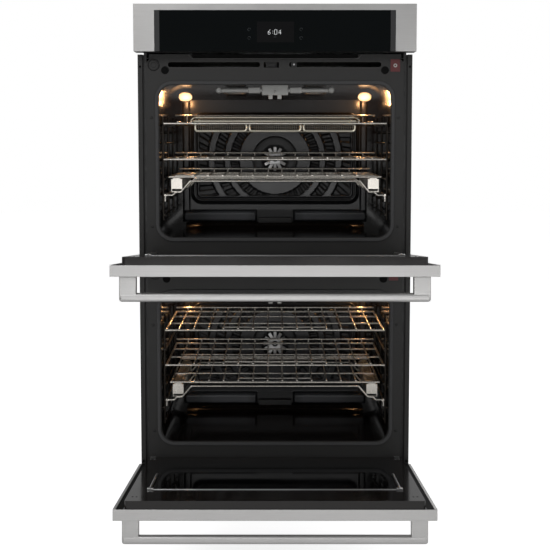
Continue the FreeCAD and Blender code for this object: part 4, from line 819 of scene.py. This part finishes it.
def handle(oven):
    """The handle as a rounded bar on two flat posts."""
    length, post, bar, top = 0.361, 0.040, 0.0205, 0.524
    end, inset = 0.0004, 0.0006
    grids = [block((-length, -0.0965, top - bar), (length, -0.076, top), 0.0065, 7)]
    for x0, x1 in ((-length + end, -length + post), (length - post, length - end)):
        grids.append(block((x0, -0.088, top - bar + inset), (x1, -0.0378, top - inset), 0.002, 4))
    piece(f"{oven}_handle_bar", [(swing(oven, grid), wrapped) for grid, wrapped in grids], f"{oven}_door",
          "stainless", [f"{oven}_door_handle"])


# ---------------------------------------------------------------- back and sides of the case
def case_details():
    """Screws round the rear and side sheets, a pressed frame and two ribs on the rear sheet, and a ring
    plate about the wiring entry."""
    rear, side, top = at("rear_panel", HIGH, 1), at("side_panels", HIGH, 0), at("top_cover", HIGH, 2)
    head = [(0, 0.0024), (0.0026, 0.0022), (0.0040, 0.0010), (0.0044, 0), (0, -0.0003)]
    screws = []
    for height in np.linspace(0.03, top - 0.03, 8):
        for x in (-1, 1):
            screws.append(turned(head, (x * (side - 0.016), rear, height), sides=12))
            for y in (0.12, rear - 0.03):
                sideways = [(radius, x * rise) for radius, rise in head]
                screws.append(turned(sideways, (x * side, y, height), "x", 12))
    for x in np.linspace(-0.25, 0.25, 5):
        for height in (0.018, top - 0.018):
            screws.append(turned(head, (x, rear, height), sides=12))
    piece("case_screws", screws, "chassis", "hinge_steel")
    half, z0, z1 = 0.27, 0.12, 0.88
    corners = [(0, rear, z0), (half, rear, z0), (half, rear, z1), (-half, rear, z1), (-half, rear, z0),
               (-0.0005, rear, z0)]
    beads = [tube(bent(corners, 0.05, 8), 0.0035, 8)]
    for height in (0.37, 0.63):
        beads.append(rod((-0.22, rear, height), (0.22, rear, height), 0.0035, 8))
    piece("rear_beads", beads, "chassis", "galvanised")
    middle = np.mean(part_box("conduit_gland"), 0)
    ring = [(0.017, 0), (0.017, 0.0012), (0.031, 0.0012), (0.032, 0)]
    piece("gland_plate", [turned(ring, (middle[0], rear, middle[2]))], "chassis", "hinge_steel", closed=False)


# ---------------------------------------------------------------- build
control_panel()
softened("control_fascia", 0.0009, "stainless")
softened("side_trims", 0.0006, "dark_steel")
trim_caps()
air_guide_lip()
for oven in OVENS:
    softened(f"{oven}_door_skin", 0.0008, "stainless")
    softened(f"{oven}_front_frame", 0.0007, "dark_steel")
    softened(f"{oven}_door_liner", 0.0012, "enamel")
    softened(f"{oven}_door_gasket", 0.002, "gasket")
    front_details(oven)
    fan_cover(oven)
    fan_star(oven)
    door_details(oven)
    handle(oven)
    broil_heater(oven)
    cavity_coves(oven)
mesh_tray()
lamp_lenses()
case_details()


# ---------------------------------------------------------------- stage, lights and camera
FLOOR_HEIGHT, FLOOR_REACH = -0.3, 15


def stage_floor(height):
    """A wide flat floor as one grid."""
    line = np.linspace(-FLOOR_REACH, FLOOR_REACH, 5)
    x, y = np.meshgrid(line, line)
    floor = piece("floor", [(np.stack([x, y, 0 * x + height], -1), False)], None, "floor", closed=False)


def pale(place):
    """A matt white floor with a faint mottle. Only the camera sees its glow, so it doesn't light the oven."""
    seen = place.node("LightPath") * (place.noise(3, 2) * 0.02 + 0.98)
    return {"Base Color": place.noise(3, 2).blend((0.8, 0.8, 0.8), (0.84, 0.84, 0.84)),
            "Roughness": 0.8 + place.noise(20, 2) * 0.1,
            "Emission Color": seen.blend((0.25, 0.25, 0.25), (1, 1, 1))}


def area_light(name, place, target, size, power):
    """A soft white box that faces its target."""
    light = bpy.data.lights.new(name, "AREA")
    light.shape, light.size, light.size_y = "RECTANGLE", *size
    light.energy = power
    made = linked(name, light)
    made.location = place
    aim = mathutils.Vector(target) - mathutils.Vector(place)
    made.rotation_euler = aim.to_track_quat("-Z", "Y").to_euler()


def lamp_light(name, place):
    """A small warm light in front of a lamp lens."""
    light = bpy.data.lights.new(name, "POINT")
    light.energy, light.color, light.shadow_soft_size = 0.32, (1.0, 0.5, 0.2), 0.009
    linked(name, light).location = place


FINISHES["floor"] = finish_of("floor", pale, {"Emission Strength": 0.72})
stage_floor(FLOOR_HEIGHT)
area_light("key", (-1.6, -3.2, 2.8), (0, 0, 0.7), (1.6, 1.2), 38)
area_light("fill", (2.4, -2.8, 1.6), (0, 0, 0.6), (1.4, 1.8), 16)
area_light("low_front", (0, -4.4, 0.5), (0, -0.5, 0.5), (3.0, 0.7), 15)
area_light("back", (0.8, 3.2, 2.6), (0, 0, 0.7), (2.0, 1.6), 32)
for oven in OVENS:
    for side in (-1, 1):
        lamp_light(f"{oven}_lamp_{side}", (side * 0.270, BACK_WALL - 0.075, OPENING_FLOOR[oven] + 0.380))

scene = bpy.context.scene
scene.view_settings.view_transform = "Standard"
world = bpy.data.worlds.new("studio")
world.use_nodes = True
backdrop = Signal(world.node_tree, None)
WHITE = (1, 1, 1, 1)
# What the camera sees behind the oven is plain white, and what lights the oven is dimmer.
lighting = backdrop.node("Background", None, {"Color": WHITE, "Strength": 0.35})
plain = backdrop.node("Background", None, {"Color": WHITE, "Strength": 1.0})
seen = backdrop.node("LightPath")
mixed = backdrop.node("MixShader", None, {0: seen, 1: lighting, 2: plain})
world.node_tree.links.new(mixed.socket, world.node_tree.nodes["World Output"].inputs["Surface"])
scene.world = world

camera = bpy.data.cameras.new("camera")
SENSOR, FOCAL_SHARE, TILT_DOWN = 36, 1151.7 / 550, 0.0836
camera.sensor_width = SENSOR
camera.lens = SENSOR * FOCAL_SHARE
camera.shift_y = -0.08
viewer = linked("camera", camera)
viewer.location = (0, -3.1875, 0.9452)
viewer.rotation_euler = (math.pi / 2 - TILT_DOWN, 0, 0)
scene.camera = viewer
